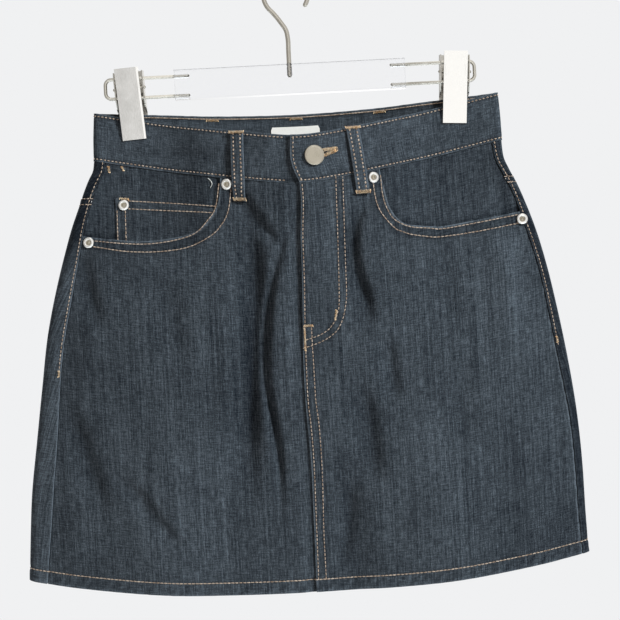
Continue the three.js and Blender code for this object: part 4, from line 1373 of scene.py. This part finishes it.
def buttonholeEdge():
    hole = {"end": (34.6, 16.8), "eye": 4.6, "lips": 2.9, "pitch": 0.36}
    centre, end = np.array(buttonAt), np.array(hole["end"])
    way = (end - centre) / np.linalg.norm(end - centre)
    off = np.array((-way[1], way[0]))
    angle = math.atan2(way[1], way[0])
    ring = [centre + hole["eye"] * np.array((math.cos(angle + t), math.sin(angle + t)))
            for t in np.linspace(0.5, 2 * math.pi - 0.5, 40)]
    one = [mix(end + off * 0.9, centre + way * 5.4 + off * 2.6, t) for t in np.linspace(0, 1, 12)]
    two = [mix(centre + way * 5.4 - off * 2.6, end - off * 0.9, t) for t in np.linspace(0, 1, 12)]
    path = np.array(one + ring + two)
    along = np.concatenate([[0], np.cumsum(np.linalg.norm(np.diff(path, axis=0), axis=1))])
    at = np.linspace(0, along[-1], int(along[-1] / hole["pitch"]))
    spot = np.stack([np.interp(at, along, path[:, 0]), np.interp(at, along, path[:, 1])], -1)
    run = np.gradient(spot, axis=0)
    run /= np.linalg.norm(run, axis=1, keepdims=True)
    aside = np.stack([run[:, 1], -run[:, 0]], -1)
    outer = np.arange(len(at)) % 2 == 0
    uneven = 0.12 * ripple(at * 3, 1.9)
    spot = spot + aside * np.where(outer, -0.5 * hole["lips"] + uneven, 0.5 * hole["lips"])[:, None]
    route = onLap(spot, skirt["bandRise"] + 0.55)
    route = route + outward(1, wayTo(1, *spot.T), spot[:, 1]) * np.where(outer, 0, 0.25)[:, None]
    bar = onLap([end + way * 0.9 + off * 1.9, end + way * 0.9 - off * 1.9], skirt["bandRise"] + 0.65)
    half = onLap([end, end + way * 1.1], 0)
    rods = [route, tackBar(bar[0], bar[1], half[1] - half[0])]
    ready(rodPiece("buttonholeStitches", rods, 0.34, tackThread), "thread")


pocketRows()
flyRows()
bandRows()
seamRows()
hemRow()
loopRows()
tacks()
buttonholeEdge()
print("stitches ready")


# Metal, wire and clear plastic


metalLooks = {
    "buttonMetal": {"colour": (0.53, 0.485, 0.40, 1), "shade": (0.45, 0.41, 0.33, 1), "roughness": 0.26},
    "rivetMetal": {"colour": (0.96, 0.95, 0.92, 1), "shade": (0.78, 0.76, 0.72, 1), "roughness": 0.22},
    "hubMetal": {"colour": (0.50, 0.455, 0.37, 1), "shade": (0.36, 0.325, 0.26, 1), "roughness": 0.34},
    "wireMetal": {"colour": (0.56, 0.53, 0.47, 1), "shade": (0.45, 0.42, 0.365, 1), "roughness": 0.16},
    "railMetal": {"colour": (0.66, 0.635, 0.575, 1), "shade": (0.52, 0.495, 0.435, 1), "roughness": 0.16},
    "clipMetal": {"colour": (0.77, 0.76, 0.74, 1), "shade": (0.70, 0.69, 0.665, 1), "roughness": 0.10},
    "jawMetal": {"colour": (0.47, 0.45, 0.41, 1), "shade": (0.38, 0.365, 0.33, 1), "roughness": 0.22},
}


def metalGroup():  # brushed lines, soft clouding and small marks
    group = newGroup(
        "metalFinish",
        [
            ("Place", "NodeSocketVector", None),
            ("Bright", "NodeSocketColor", (0.7, 0.7, 0.7, 1)),
            ("Shade", "NodeSocketColor", (0.5, 0.5, 0.5, 1)),
            ("Roughness", "NodeSocketFloat", 0.3),
            ("Lines", "NodeSocketVector", (1800.0, 1800.0, 60.0)),
        ],
        [("Color", "NodeSocketColor"), ("Height", "NodeSocketFloat"), ("Roughness", "NodeSocketFloat")],
    )
    add = adder(group)
    given = group.nodes.new("NodeGroupInput").outputs
    out = group.nodes.new("NodeGroupOutput")
    spot = given["Place"]
    scaled = add("ShaderNodeVectorMath", [(0, spot), (1, given["Lines"])], operation="MULTIPLY")
    lines = noiseOf(add, scaled.outputs[0], 1.0, 3.0)
    cloud = noiseOf(add, spot, 90.0, 3.0)
    marks = add("ShaderNodeTexVoronoi", [("Vector", spot), ("Scale", 620.0)], feature="DISTANCE_TO_EDGE")
    mark = rangeOf(add, marks.outputs["Distance"], fromMax=0.04, toMin=1.0, toMax=0.0)
    share = rangeOf(add, calc(add, "ADD", lines, cloud), fromMin=0.7, fromMax=1.3)
    colour = mixOf(add, share, given["Shade"], given["Bright"])
    rough = calc(add, "MULTIPLY_ADD", share, 0.14, given["Roughness"])
    rough = calc(add, "MULTIPLY_ADD", mark, 0.05, rough)
    feed(group, out, [("Color", colour), ("Height", lines), ("Roughness", rough)])
    return group


metalFinish = metalGroup()


def metalMaterial(name, lines=(2600.0, 2600.0, 2600.0), lean=0.0, strength=0.12, edge=None):
    looks = metalLooks[name.split(".")[0]]
    material, add, dress = newMaterial(name)
    spot = add("ShaderNodeTexCoord").outputs["Object"]
    turn = add("ShaderNodeMapping", [("Vector", spot), ("Rotation", (0, lean, 0))]).outputs[0]
    finish = add("ShaderNodeGroup", [
        ("Place", turn), ("Bright", looks["colour"]), ("Shade", looks["shade"]),
        ("Roughness", looks["roughness"]), ("Lines", lines),
    ], node_tree=metalFinish).outputs
    grain = bumpOf(add, finish["Height"], strength, 0.0001)
    if edge is not None:  # a polished strip beyond this place leans back a little
        across = add("ShaderNodeSeparateXYZ", [("Vector", turn)]).outputs["X"]
        beyond = calc(add, "MAXIMUM", calc(add, "SUBTRACT", across, edge * mm), 0.0)
        grain = bumpOf(add, calc(add, "MULTIPLY", beyond, -0.10), 1.0, 1.0, ("Normal", grain))
    dress(
        ("Base Color", finish["Color"]), ("Roughness", finish["Roughness"]), ("Normal", grain),
        ("Metallic", 1.0),
    )
    return material


buttonMetal = metalMaterial("buttonMetal")
rivetMetal = metalMaterial("rivetMetal")
hubMetal = metalMaterial("hubMetal")
wireMetal = metalMaterial("wireMetal", lines=(900.0, 1500.0, 1500.0), strength=0.06)
railMetal = metalMaterial("railMetal", lines=(900.0, 1500.0, 1500.0), strength=0.06)


def turnedMesh(name, profile, sides, at, normal):  # a turned shape standing on the cloth at a point
    around = np.linspace(0, 2 * math.pi, sides, endpoint=False)
    rings, faces = [], []
    for radius, height in profile:
        angles = around if radius else around[:1]
        rings.append([(radius * math.cos(a), radius * math.sin(a), height) for a in angles])
    starts = np.concatenate([[0], np.cumsum([len(ring) for ring in rings])])
    for k in range(len(rings) - 1):
        a, b = int(starts[k]), int(starts[k + 1])
        for j in range(sides):
            n = (j + 1) % sides
            if len(rings[k]) == 1:
                faces.append((a, b + n, b + j))
            elif len(rings[k + 1]) == 1:
                faces.append((a + j, a + n, b))
            else:
                faces.append((a + j, a + n, b + n, b + j))
    turn = Vector(normal).to_track_quat("Z", "Y").to_matrix()
    local = np.concatenate(rings) @ np.array(turn).T
    return meshOf(name, local + np.array(at), faces)


def fastenings():
    profile = [
        (0, -2.5), (3, -2.5), (3, 0.7), (7.9, 0.72), (8.3, 0.88), (8.5, 1.25), (8.5, 1.8), (8.38, 2.25),
        (8.05, 2.58), (7.6, 2.7), (7.2, 2.66), (6.95, 2.48), (6.75, 2.4), (6.4, 2.41), (4, 2.47),
        (2, 2.51), (0, 2.52),
    ]
    x, drop = buttonAt
    way = wayTo(1, x, drop)
    at = place(1, way, drop, skirt["bandRise"])
    mesh = turnedMesh("jeansButton", profile, 64, at, outward(1, way, drop))
    ready(newPiece("jeansButton", mesh, buttonMetal), "satin_metal", "button")

    rivets = rowsOf(table(
        "x drop lift",
        [-57.4, 45.6, 0.5], [-177.0, 106.2, 0.35], [-146.0, 72.4, 0.3], [65.6, 46.4, 0.35],
        [189.8, 107.0, 1.1],
    ))
    profile = [
        (0, 0), (4.55, 0), (4.7, 0.2), (4.7, 0.55), (4.55, 0.88), (4.2, 1.18), (3.75, 1.45), (3.3, 1.58),
        (2.75, 1.50), (2.35, 1.15), (2.1, 0.7), (1.8, 0.56), (1.45, 0.54), (1.1, 0.72), (0.85, 1.02),
        (0.6, 1.17), (0.3, 1.22), (0, 1.23),
    ]
    hub = {"radius": 2.75, "height": 0.4}
    for k, row in enumerate(rivets, 1):
        side, drop = -1 if row["x"] < 0 else 1, row["drop"]
        way = wayTo(side, row["x"], drop)
        at, normal = place(side, way, drop, row["lift"]), outward(side, way, drop)
        mesh = turnedMesh(f"rivet{k}", profile, 36, at, normal)
        ready(newPiece(f"rivet{k}", mesh, rivetMetal), "satin_metal", f"rivet_{k}")
        mesh.materials.append(hubMetal)
        for polygon in mesh.polygons:
            spots = [np.array(mesh.vertices[n].co) / mm for n in polygon.vertices]
            out = float(np.dot(np.mean(spots, 0) - at, normal))
            far = max(float(np.linalg.norm(spot - at)) for spot in spots)
            polygon.material_index = 1 if far < hub["radius"] and out > hub["height"] else 0


fastenings()


def waistLabel():
    label = {"left": -18.6, "right": 23.2, "top": 10.0, "bottom": 37, "thick": 0.6, "cell": 1.2}
    cut = {"wide": 1.2, "high": 2.6}  # how much of each upper corner is cut away
    material, add, dress = newMaterial("labelCloth")
    uv = add("ShaderNodeUVMap", uv_map="cloth").outputs[0]
    weave = add("ShaderNodeTexBrick", [
        ("Vector", uv), ("Scale", 1.6), ("Mortar Size", 0.05), ("Brick Width", 0.9), ("Row Height", 0.5),
        ("Color1", (0.69, 0.645, 0.60, 1)), ("Color2", (0.635, 0.59, 0.55, 1)),
        ("Mortar", (0.60, 0.56, 0.52, 1)),
    ]).outputs
    tone = mixOf(add, noiseOf(add, uv, 0.35, 3.0), weave["Color"], (0.72, 0.67, 0.63, 1))
    dress(
        ("Base Color", tone), ("Normal", bumpOf(add, weave["Fac"], 0.3, 0.0001)),
        ("Roughness", 0.7), ("Sheen Weight", 0.15),
    )
    inside = skirt["bandRise"] - skirt["bandThickness"] - skirt["gap"]

    def clear(x, drop, s, side):
        corner = np.minimum(x - label["left"], label["right"] - x) / cut["wide"]
        return corner + (drop - label["top"]) / cut["high"] - 1

    patch = clothSheet(
        "waistLabel", runAcross(label["left"], label["right"], -1),
        clothRows(label["top"], label["bottom"], cell=label["cell"]), level(inside), material,
        thick=label["thick"], clear=clear, grain=1, rim=0.15, cell=label["cell"],
    )
    ready(patch, "label_cloth", "label")


def level(height):  # the same lift all over a piece
    return lambda x, drop, s, side: height + 0 * x


tapeLift = -2 * skirt["cloth"] - 4 * skirt["gap"]


def flyShield():
    shield = {"left": -10, "right": 38, "bottom": 176, "stand": 1.8, "corner": 16}

    def clear(x, drop, s, side):
        cornerX = np.maximum(0, x - (shield["right"] - shield["corner"]))
        cornerDrop = np.maximum(0, drop - (shield["bottom"] - shield["corner"]))
        return shield["corner"] - np.hypot(cornerX, cornerDrop)

    piece = clothSheet(
        "flyShield", runAcross(shield["left"], shield["right"]),
        clothRows(skirt["bandDrop"] + 0.5, shield["bottom"]), level(tapeLift - shield["stand"]), facingDenim,
        clear=clear,
    )
    ready(piece, "denim", "fly_shield")


zipSizes = {
    "left": -3, "right": 29, "middle": 14, "top": 41.5, "bottom": 166, "tape": 0.6,
    "toothPitch": 1.05, "toothOffset": 0.85, "tooth": (2.9, 0.72, 1.2), "firstTooth": 12, "lastTooth": 4,
}


def zipTapes():
    material, add, dress = newMaterial("zipTape")
    uv = add("ShaderNodeUVMap", uv_map="cloth").outputs[0]
    rib = add("ShaderNodeTexWave", [("Vector", uv), ("Scale", 0.9), ("Distortion", 0.4)],
              bands_direction="DIAGONAL").outputs["Fac"]
    dress(
        ("Base Color", rampOf(add, rib, (0.0, (0.012, 0.015, 0.020, 1)), (1.0, (0.036, 0.043, 0.054, 1)))),
        ("Normal", bumpOf(add, rib, 0.5, 0.0002)), ("Roughness", 0.85),
    )
    tapes = clothSheet(
        "zipTapes", runAcross(zipSizes["left"], zipSizes["right"]),
        clothRows(zipSizes["top"], zipSizes["bottom"]), level(tapeLift), material,
        thick=zipSizes["tape"], rim=0.1,
    )
    ready(tapes, "zip_tape", "zip")


def blocks(name, rows, width, segments):  # small blocks on the tape, each with its long side across the zip
    points, faces = [], []
    quads = [(0, 1, 3, 2), (4, 6, 7, 5), (0, 4, 5, 1), (2, 3, 7, 6), (0, 2, 6, 4), (1, 5, 7, 3)]
    for x, drop, lift, size, taper in rows:
        s = wayTo(-1, x, drop)
        out = outward(-1, s, drop)
        at = place(-1, s, drop, lift)
        below = place(-1, wayTo(-1, x, drop + 1), drop + 1, lift) - at
        down = below / np.linalg.norm(below)
        across = np.cross(out, down)
        faces += [tuple(len(points) + n for n in quad) for quad in quads]
        for a, b, c in [(i, j, k) for i in (-1, 1) for j in (-1, 1) for k in (-1, 1)]:
            narrow = taper if c > 0 else 1
            flat = across * a * size[0] / 2 * narrow + down * b * size[1] / 2 * narrow
            points.append(at + flat + out * c * size[2] / 2)
    piece = newPiece(name, meshOf(name, points, faces), buttonMetal)
    finished(piece, ("BEVEL", {"width": width * mm, "segments": segments}))
    ready(piece, "satin_metal")


def zipMetal():
    first = zipSizes["top"] + zipSizes["firstTooth"]
    count = int((zipSizes["bottom"] - zipSizes["lastTooth"] - first) / zipSizes["toothPitch"])
    middle, offset = zipSizes["middle"], zipSizes["toothOffset"]
    teeth = []
    for k in range(count):
        x = middle + (offset if k % 2 else -offset)
        teeth.append((x, first + k * zipSizes["toothPitch"], tapeLift + 0.05, zipSizes["tooth"], 0.85))
    blocks("zipTeeth", teeth, 0.12, 1)
    blocks("zipSlider", [
        (middle, 47.5, tapeLift + 0.65, (8.2, 9.6, 1.1), 0.86),
        (middle, 47.5, tapeLift - 1.0, (8.0, 9.4, 0.9), 1.0),
        (middle, 49.0, tapeLift - 0.15, (2.0, 6.0, 0.8), 1.0),
        (middle, 58.0, tapeLift + 1.36, (4.8, 25.0, 0.28), 0.95),
    ], 0.25, 2)


waistLabel()
flyShield()
zipTapes()
zipMetal()


def throughPoints(points, count):  # an even smooth run through points in space
    points = np.array(points, float)
    along = np.concatenate([[0], np.cumsum(np.linalg.norm(np.diff(points, axis=0), axis=1))])
    at = np.linspace(0, along[-1], count)
    rows = {"at": along, "x": points[:, 0], "y": points[:, 1], "z": points[:, 2]}
    return np.stack([column(rows, axis, at, "at") for axis in "xyz"], -1)


def arcPoints(centreX, centreZ, radius, start, end, count):
    angles = np.radians(np.linspace(start, end, count))
    return [(centreX + radius * math.cos(a), 0, centreZ + radius * math.sin(a)) for a in angles]


hanger = {
    "wire": 2.0,
    "crown": 19.0,
    "rail": 1.5,
    "railZ": (-82.0, -98.6),
    "railEnd": 157.0,
    "bend": 5.0,
    "barLength": 196.0,
    "railSeat": 11.5,
    "barTop": -76.3,
    "stemSeat": 10.0,
    "pivot": -15.8,
    "clipTop": -74.5,
    "clipLength": 60.0,
    "clipX": {"Left": -135.8, "Right": 139.3},
    "tilt": 3.4,
}


def hangerWires():
    crownZ = hanger["wire"] - hanger["crown"]
    stem = [(0, 0, hanger["barTop"] - hanger["stemSeat"]), (0, 0, -66), (0, 0, -55), (-1.2, 0, -47.8)]
    route = [*stem, (-5.2, 0, -41), *arcPoints(0, crownZ, hanger["crown"], 228, -32, 28)]
    hook = rodPiece("hangerHook", [throughPoints(route, 150)], hanger["wire"], wireMetal, 20)
    ready(hook, "wire", "hanger_hook")
    upper, lower = hanger["railZ"]
    bend = hanger["bend"]
    inside = hanger["barLength"] / 2 - hanger["railSeat"]
    corner = hanger["railEnd"] - bend
    rail = [
        (inside, 0, upper), *arcPoints(corner, upper - bend, bend, 90, 0, 9),
        *arcPoints(corner, lower + bend, bend, 0, -90, 9), (inside, 0, lower),
    ]
    for name, side in (("Left", -1), ("Right", 1)):
        route = [(side * x, y, z) for x, y, z in rail]
        piece = rodPiece("hangerRail" + name, [route], hanger["rail"], railMetal, 18)
        ready(piece, "wire", "hanger_rail_" + name.lower())


def copyOfNode(name, node, material, width, segments, angle):  # the node's own form with rounded edges
    source = bpy.data.objects[node] if node in bpy.data.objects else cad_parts[node]
    bm = bmesh.new()
    bm.from_mesh(source.data)
    bm.transform(source.matrix_world)
    bmesh.ops.remove_doubles(bm, verts=bm.verts, dist=0.00001)
    bmesh.ops.dissolve_limit(bm, angle_limit=math.radians(1), verts=bm.verts, edges=bm.edges)
    mesh = bpy.data.meshes.new(name)
    bm.to_mesh(mesh)
    bm.free()
    obj = newPiece(name, mesh, material)
    return finished(obj, bevelled(width, segments, angle))


def hangerBar():
    material, add, dress = newMaterial("clearPlastic")
    spot = add("ShaderNodeTexCoord").outputs["Object"]
    along = add("ShaderNodeMapping", [("Vector", spot), ("Scale", (25, 900, 900))]).outputs[0]
    streaks = noiseOf(add, along, 1.0, 2.0)
    dress(
        ("Base Color", (0.985, 0.985, 0.99, 1)), ("Transmission Weight", 1.0), ("IOR", 1.30),
        ("Roughness", rangeOf(add, streaks, toMin=0.10, toMax=0.19)),
        ("Normal", bumpOf(add, streaks, 0.05, 0.0001)),
    )
    piece = copyOfNode("hangerBar", "hanger_bar", material, 0.7, 3, 50)
    ready(piece, "clear_plastic", "hanger_bar", soft=False)


def hangerClips():
    spring = {"turns": 9.5, "reach": 6.3, "radius": 2.55, "wire": 0.62}
    pinSize = {"reach": 12.6, "radius": 1.5}
    polished = 8.3  # how far from its middle the left plate's polished strip starts
    out = np.array((0, -1, 0))
    for name, side in (("Left", -1), ("Right", 1)):
        lean = math.radians(hanger["tilt"]) * side
        axis = np.array((math.cos(lean), 0, -math.sin(lean)))
        down = np.array((-math.sin(lean), 0, -math.cos(lean)))
        half = hanger["clipLength"] / 2
        top = np.array((hanger["clipX"][name], 0, hanger["clipTop"] - half)) - down * half
        finish = {"lines": (2600.0, 2600.0, 45.0), "lean": -lean, "strength": 0.10}
        edge = top @ axis + polished if side < 0 else None
        plates = metalMaterial("clipMetal." + name, edge=edge, **finish)
        jaws = metalMaterial("jawMetal." + name, **finish)
        node = "clip_" + name.lower()
        for part, width, metal in (("Front", 0.8, plates), ("Back", 0.3, jaws)):
            plate = copyOfNode("clip" + part + name, f"{node}_{part.lower()}", metal, width, 3, 40)
            ready(plate, "brushed_clip", f"{node}_{part.lower()}", soft=False)
        pivot = top - down * hanger["pivot"]
        shaft = [pivot - axis * pinSize["reach"], pivot, pivot + axis * pinSize["reach"]]
        pin = rodPiece("clipPin" + name, [shaft], pinSize["radius"], wireMetal, 20)
        ready(pin, "wire", node + "_pin")
        turns = np.linspace(0, spring["turns"] * 2 * math.pi, 9 * 22)[:, None]
        reach = np.linspace(-spring["reach"], spring["reach"], len(turns))[:, None]
        coil = pivot + axis * reach + spring["radius"] * (out * np.cos(turns) + down * np.sin(turns))
        ready(rodPiece("clipSpring" + name, [coil], spring["wire"], wireMetal, 8), "wire", node + "_spring")


hangerWires()
hangerBar()
hangerClips()
print("hardware ready")


# Cuts of the cloth: the step below is empty and states none


def cuts():
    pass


cuts()


# Floor, light and camera


def studio():
    floor = {"radius": 4.5, "z": -1.75, "fadeFrom": 1.6, "fadeTo": 4.2}
    mesh = bpy.data.meshes.new("studioFloor")
    bm = bmesh.new()
    bmesh.ops.create_circle(bm, cap_ends=True, segments=96, radius=floor["radius"])
    bmesh.ops.translate(bm, verts=bm.verts, vec=(0, 0, floor["z"]))
    bm.to_mesh(mesh)
    bm.free()
    disc = bpy.data.objects.new("studioFloor", mesh)
    scene.collection.objects.link(disc)
    material, add, dress = newMaterial("paleFloor")
    spot = add("ShaderNodeTexCoord").outputs["Object"]
    flat = add("ShaderNodeVectorMath", [(0, spot), (1, (1, 1, 0))], operation="MULTIPLY")
    far = add("ShaderNodeVectorMath", [(0, flat.outputs[0])], operation="LENGTH").outputs["Value"]
    fade = rangeOf(add, far, fromMin=floor["fadeFrom"], fromMax=floor["fadeTo"], toMin=1.0, toMax=0.0)
    dress(("Alpha", fade), ("Base Color", (0.88, 0.88, 0.89, 1)), ("Roughness", 0.9))

    mesh.materials.append(material)

    light = {"seen": (0.872, 0.878, 0.888, 1), "sky": (0.93, 0.97, 1.0, 1), "skyStrength": 0.18}
    world = bpy.data.worlds.new("studioSky")
    scene.world = world
    world.use_nodes = True
    tree = world.node_tree
    add = adder(tree)
    sky = tree.nodes["Background"]
    feed(tree, sky, [("Color", light["sky"]), ("Strength", light["skyStrength"])])
    seen = add("ShaderNodeBackground", [("Color", light["seen"])]).outputs[0]
    path = add("ShaderNodeLightPath").outputs
    # Gloss mirrors a room with a window a little to the right
    towards = add("ShaderNodeTexCoord").outputs["Generated"]
    parts = add("ShaderNodeSeparateXYZ", [(0, towards)])
    across = rangeOf(add, parts.outputs[0], fromMin=-1.0, fromMax=1.0)
    panes = [
        (spot, (bright, bright * 0.995, bright * 0.985, 1))
        for spot, bright in ((0.445, 0.50), (0.465, 0.56), (0.50, 1.0), (0.60, 1.0), (0.68, 0.70))
    ]
    room = rampOf(add, across, (0.0, (0.35, 0.343, 0.329, 1)), *panes, (1.0, (0.57, 0.57, 0.57, 1)))
    mirrored = add("ShaderNodeBackground", [("Color", room), ("Strength", 1.4)]).outputs[0]
    clear = calc(add, "MAXIMUM", path["Is Camera Ray"], path["Is Transmission Ray"])
    lit = add("ShaderNodeMixShader", [(0, path["Is Glossy Ray"]), (1, sky.outputs[0]), (2, mirrored)])
    both = add("ShaderNodeMixShader", [(0, clear), (1, lit.outputs[0]), (2, seen)])
    tree.links.new(both.outputs[0], tree.nodes["World Output"].inputs["Surface"])

    lamps = [
        ("keyLight", (2.5, -2.2, 1.4), 0.8, 252, (0.855, 0.955, 1.0)),
        ("fillLight", (-1.6, -2.5, 1.5), 1.6, 26, (1.0, 0.915, 0.81)),
        ("backLight", (-2.2, 2.3, 1.2), 1.2, 190, (0.95, 0.98, 1.0)),
    ]
    for name, spot, size, power, colour in lamps:
        data = bpy.data.lights.new(name, "AREA")
        data.energy, data.size, data.color = power, size, colour
        lamp = bpy.data.objects.new(name, data)
        lamp.location = spot
        lamp.visible_glossy = False
        lamp.visible_transmission = False
        lamp.visible_camera = False
        aim = Vector((0, 0, -0.3)) - Vector(spot)
        lamp.rotation_euler = aim.to_track_quat("-Z", "Y").to_euler()
        scene.collection.objects.link(lamp)
    scene.view_settings.view_transform = "Standard"
    scene.view_settings.look = "None"


def viewpoint():
    shot = {"x": 6.77, "y": -1400, "z": -286.2, "width": 527.0, "roll": 3.0, "sensor": 36}
    data = bpy.data.cameras.new("camera")
    data.sensor_width = shot["sensor"]
    data.lens = shot["sensor"] * abs(shot["y"]) / shot["width"]
    data.dof.use_dof = False
    data.clip_start, data.clip_end = 0.05, 100
    camera = bpy.data.objects.new("camera", data)
    roll = math.radians(shot["roll"])
    right = Vector((math.cos(roll), 0, -math.sin(roll)))
    up = Vector((math.sin(roll), 0, math.cos(roll)))
    back = Vector((0, -1, 0))
    turn = Matrix((right, up, back)).transposed()
    spot = Vector((shot["x"], shot["y"], shot["z"])) * mm
    camera.matrix_world = Matrix.Translation(spot) @ turn.to_4x4()
    scene.collection.objects.link(camera)
    scene.camera = camera


studio()
viewpoint()
print("studio ready")
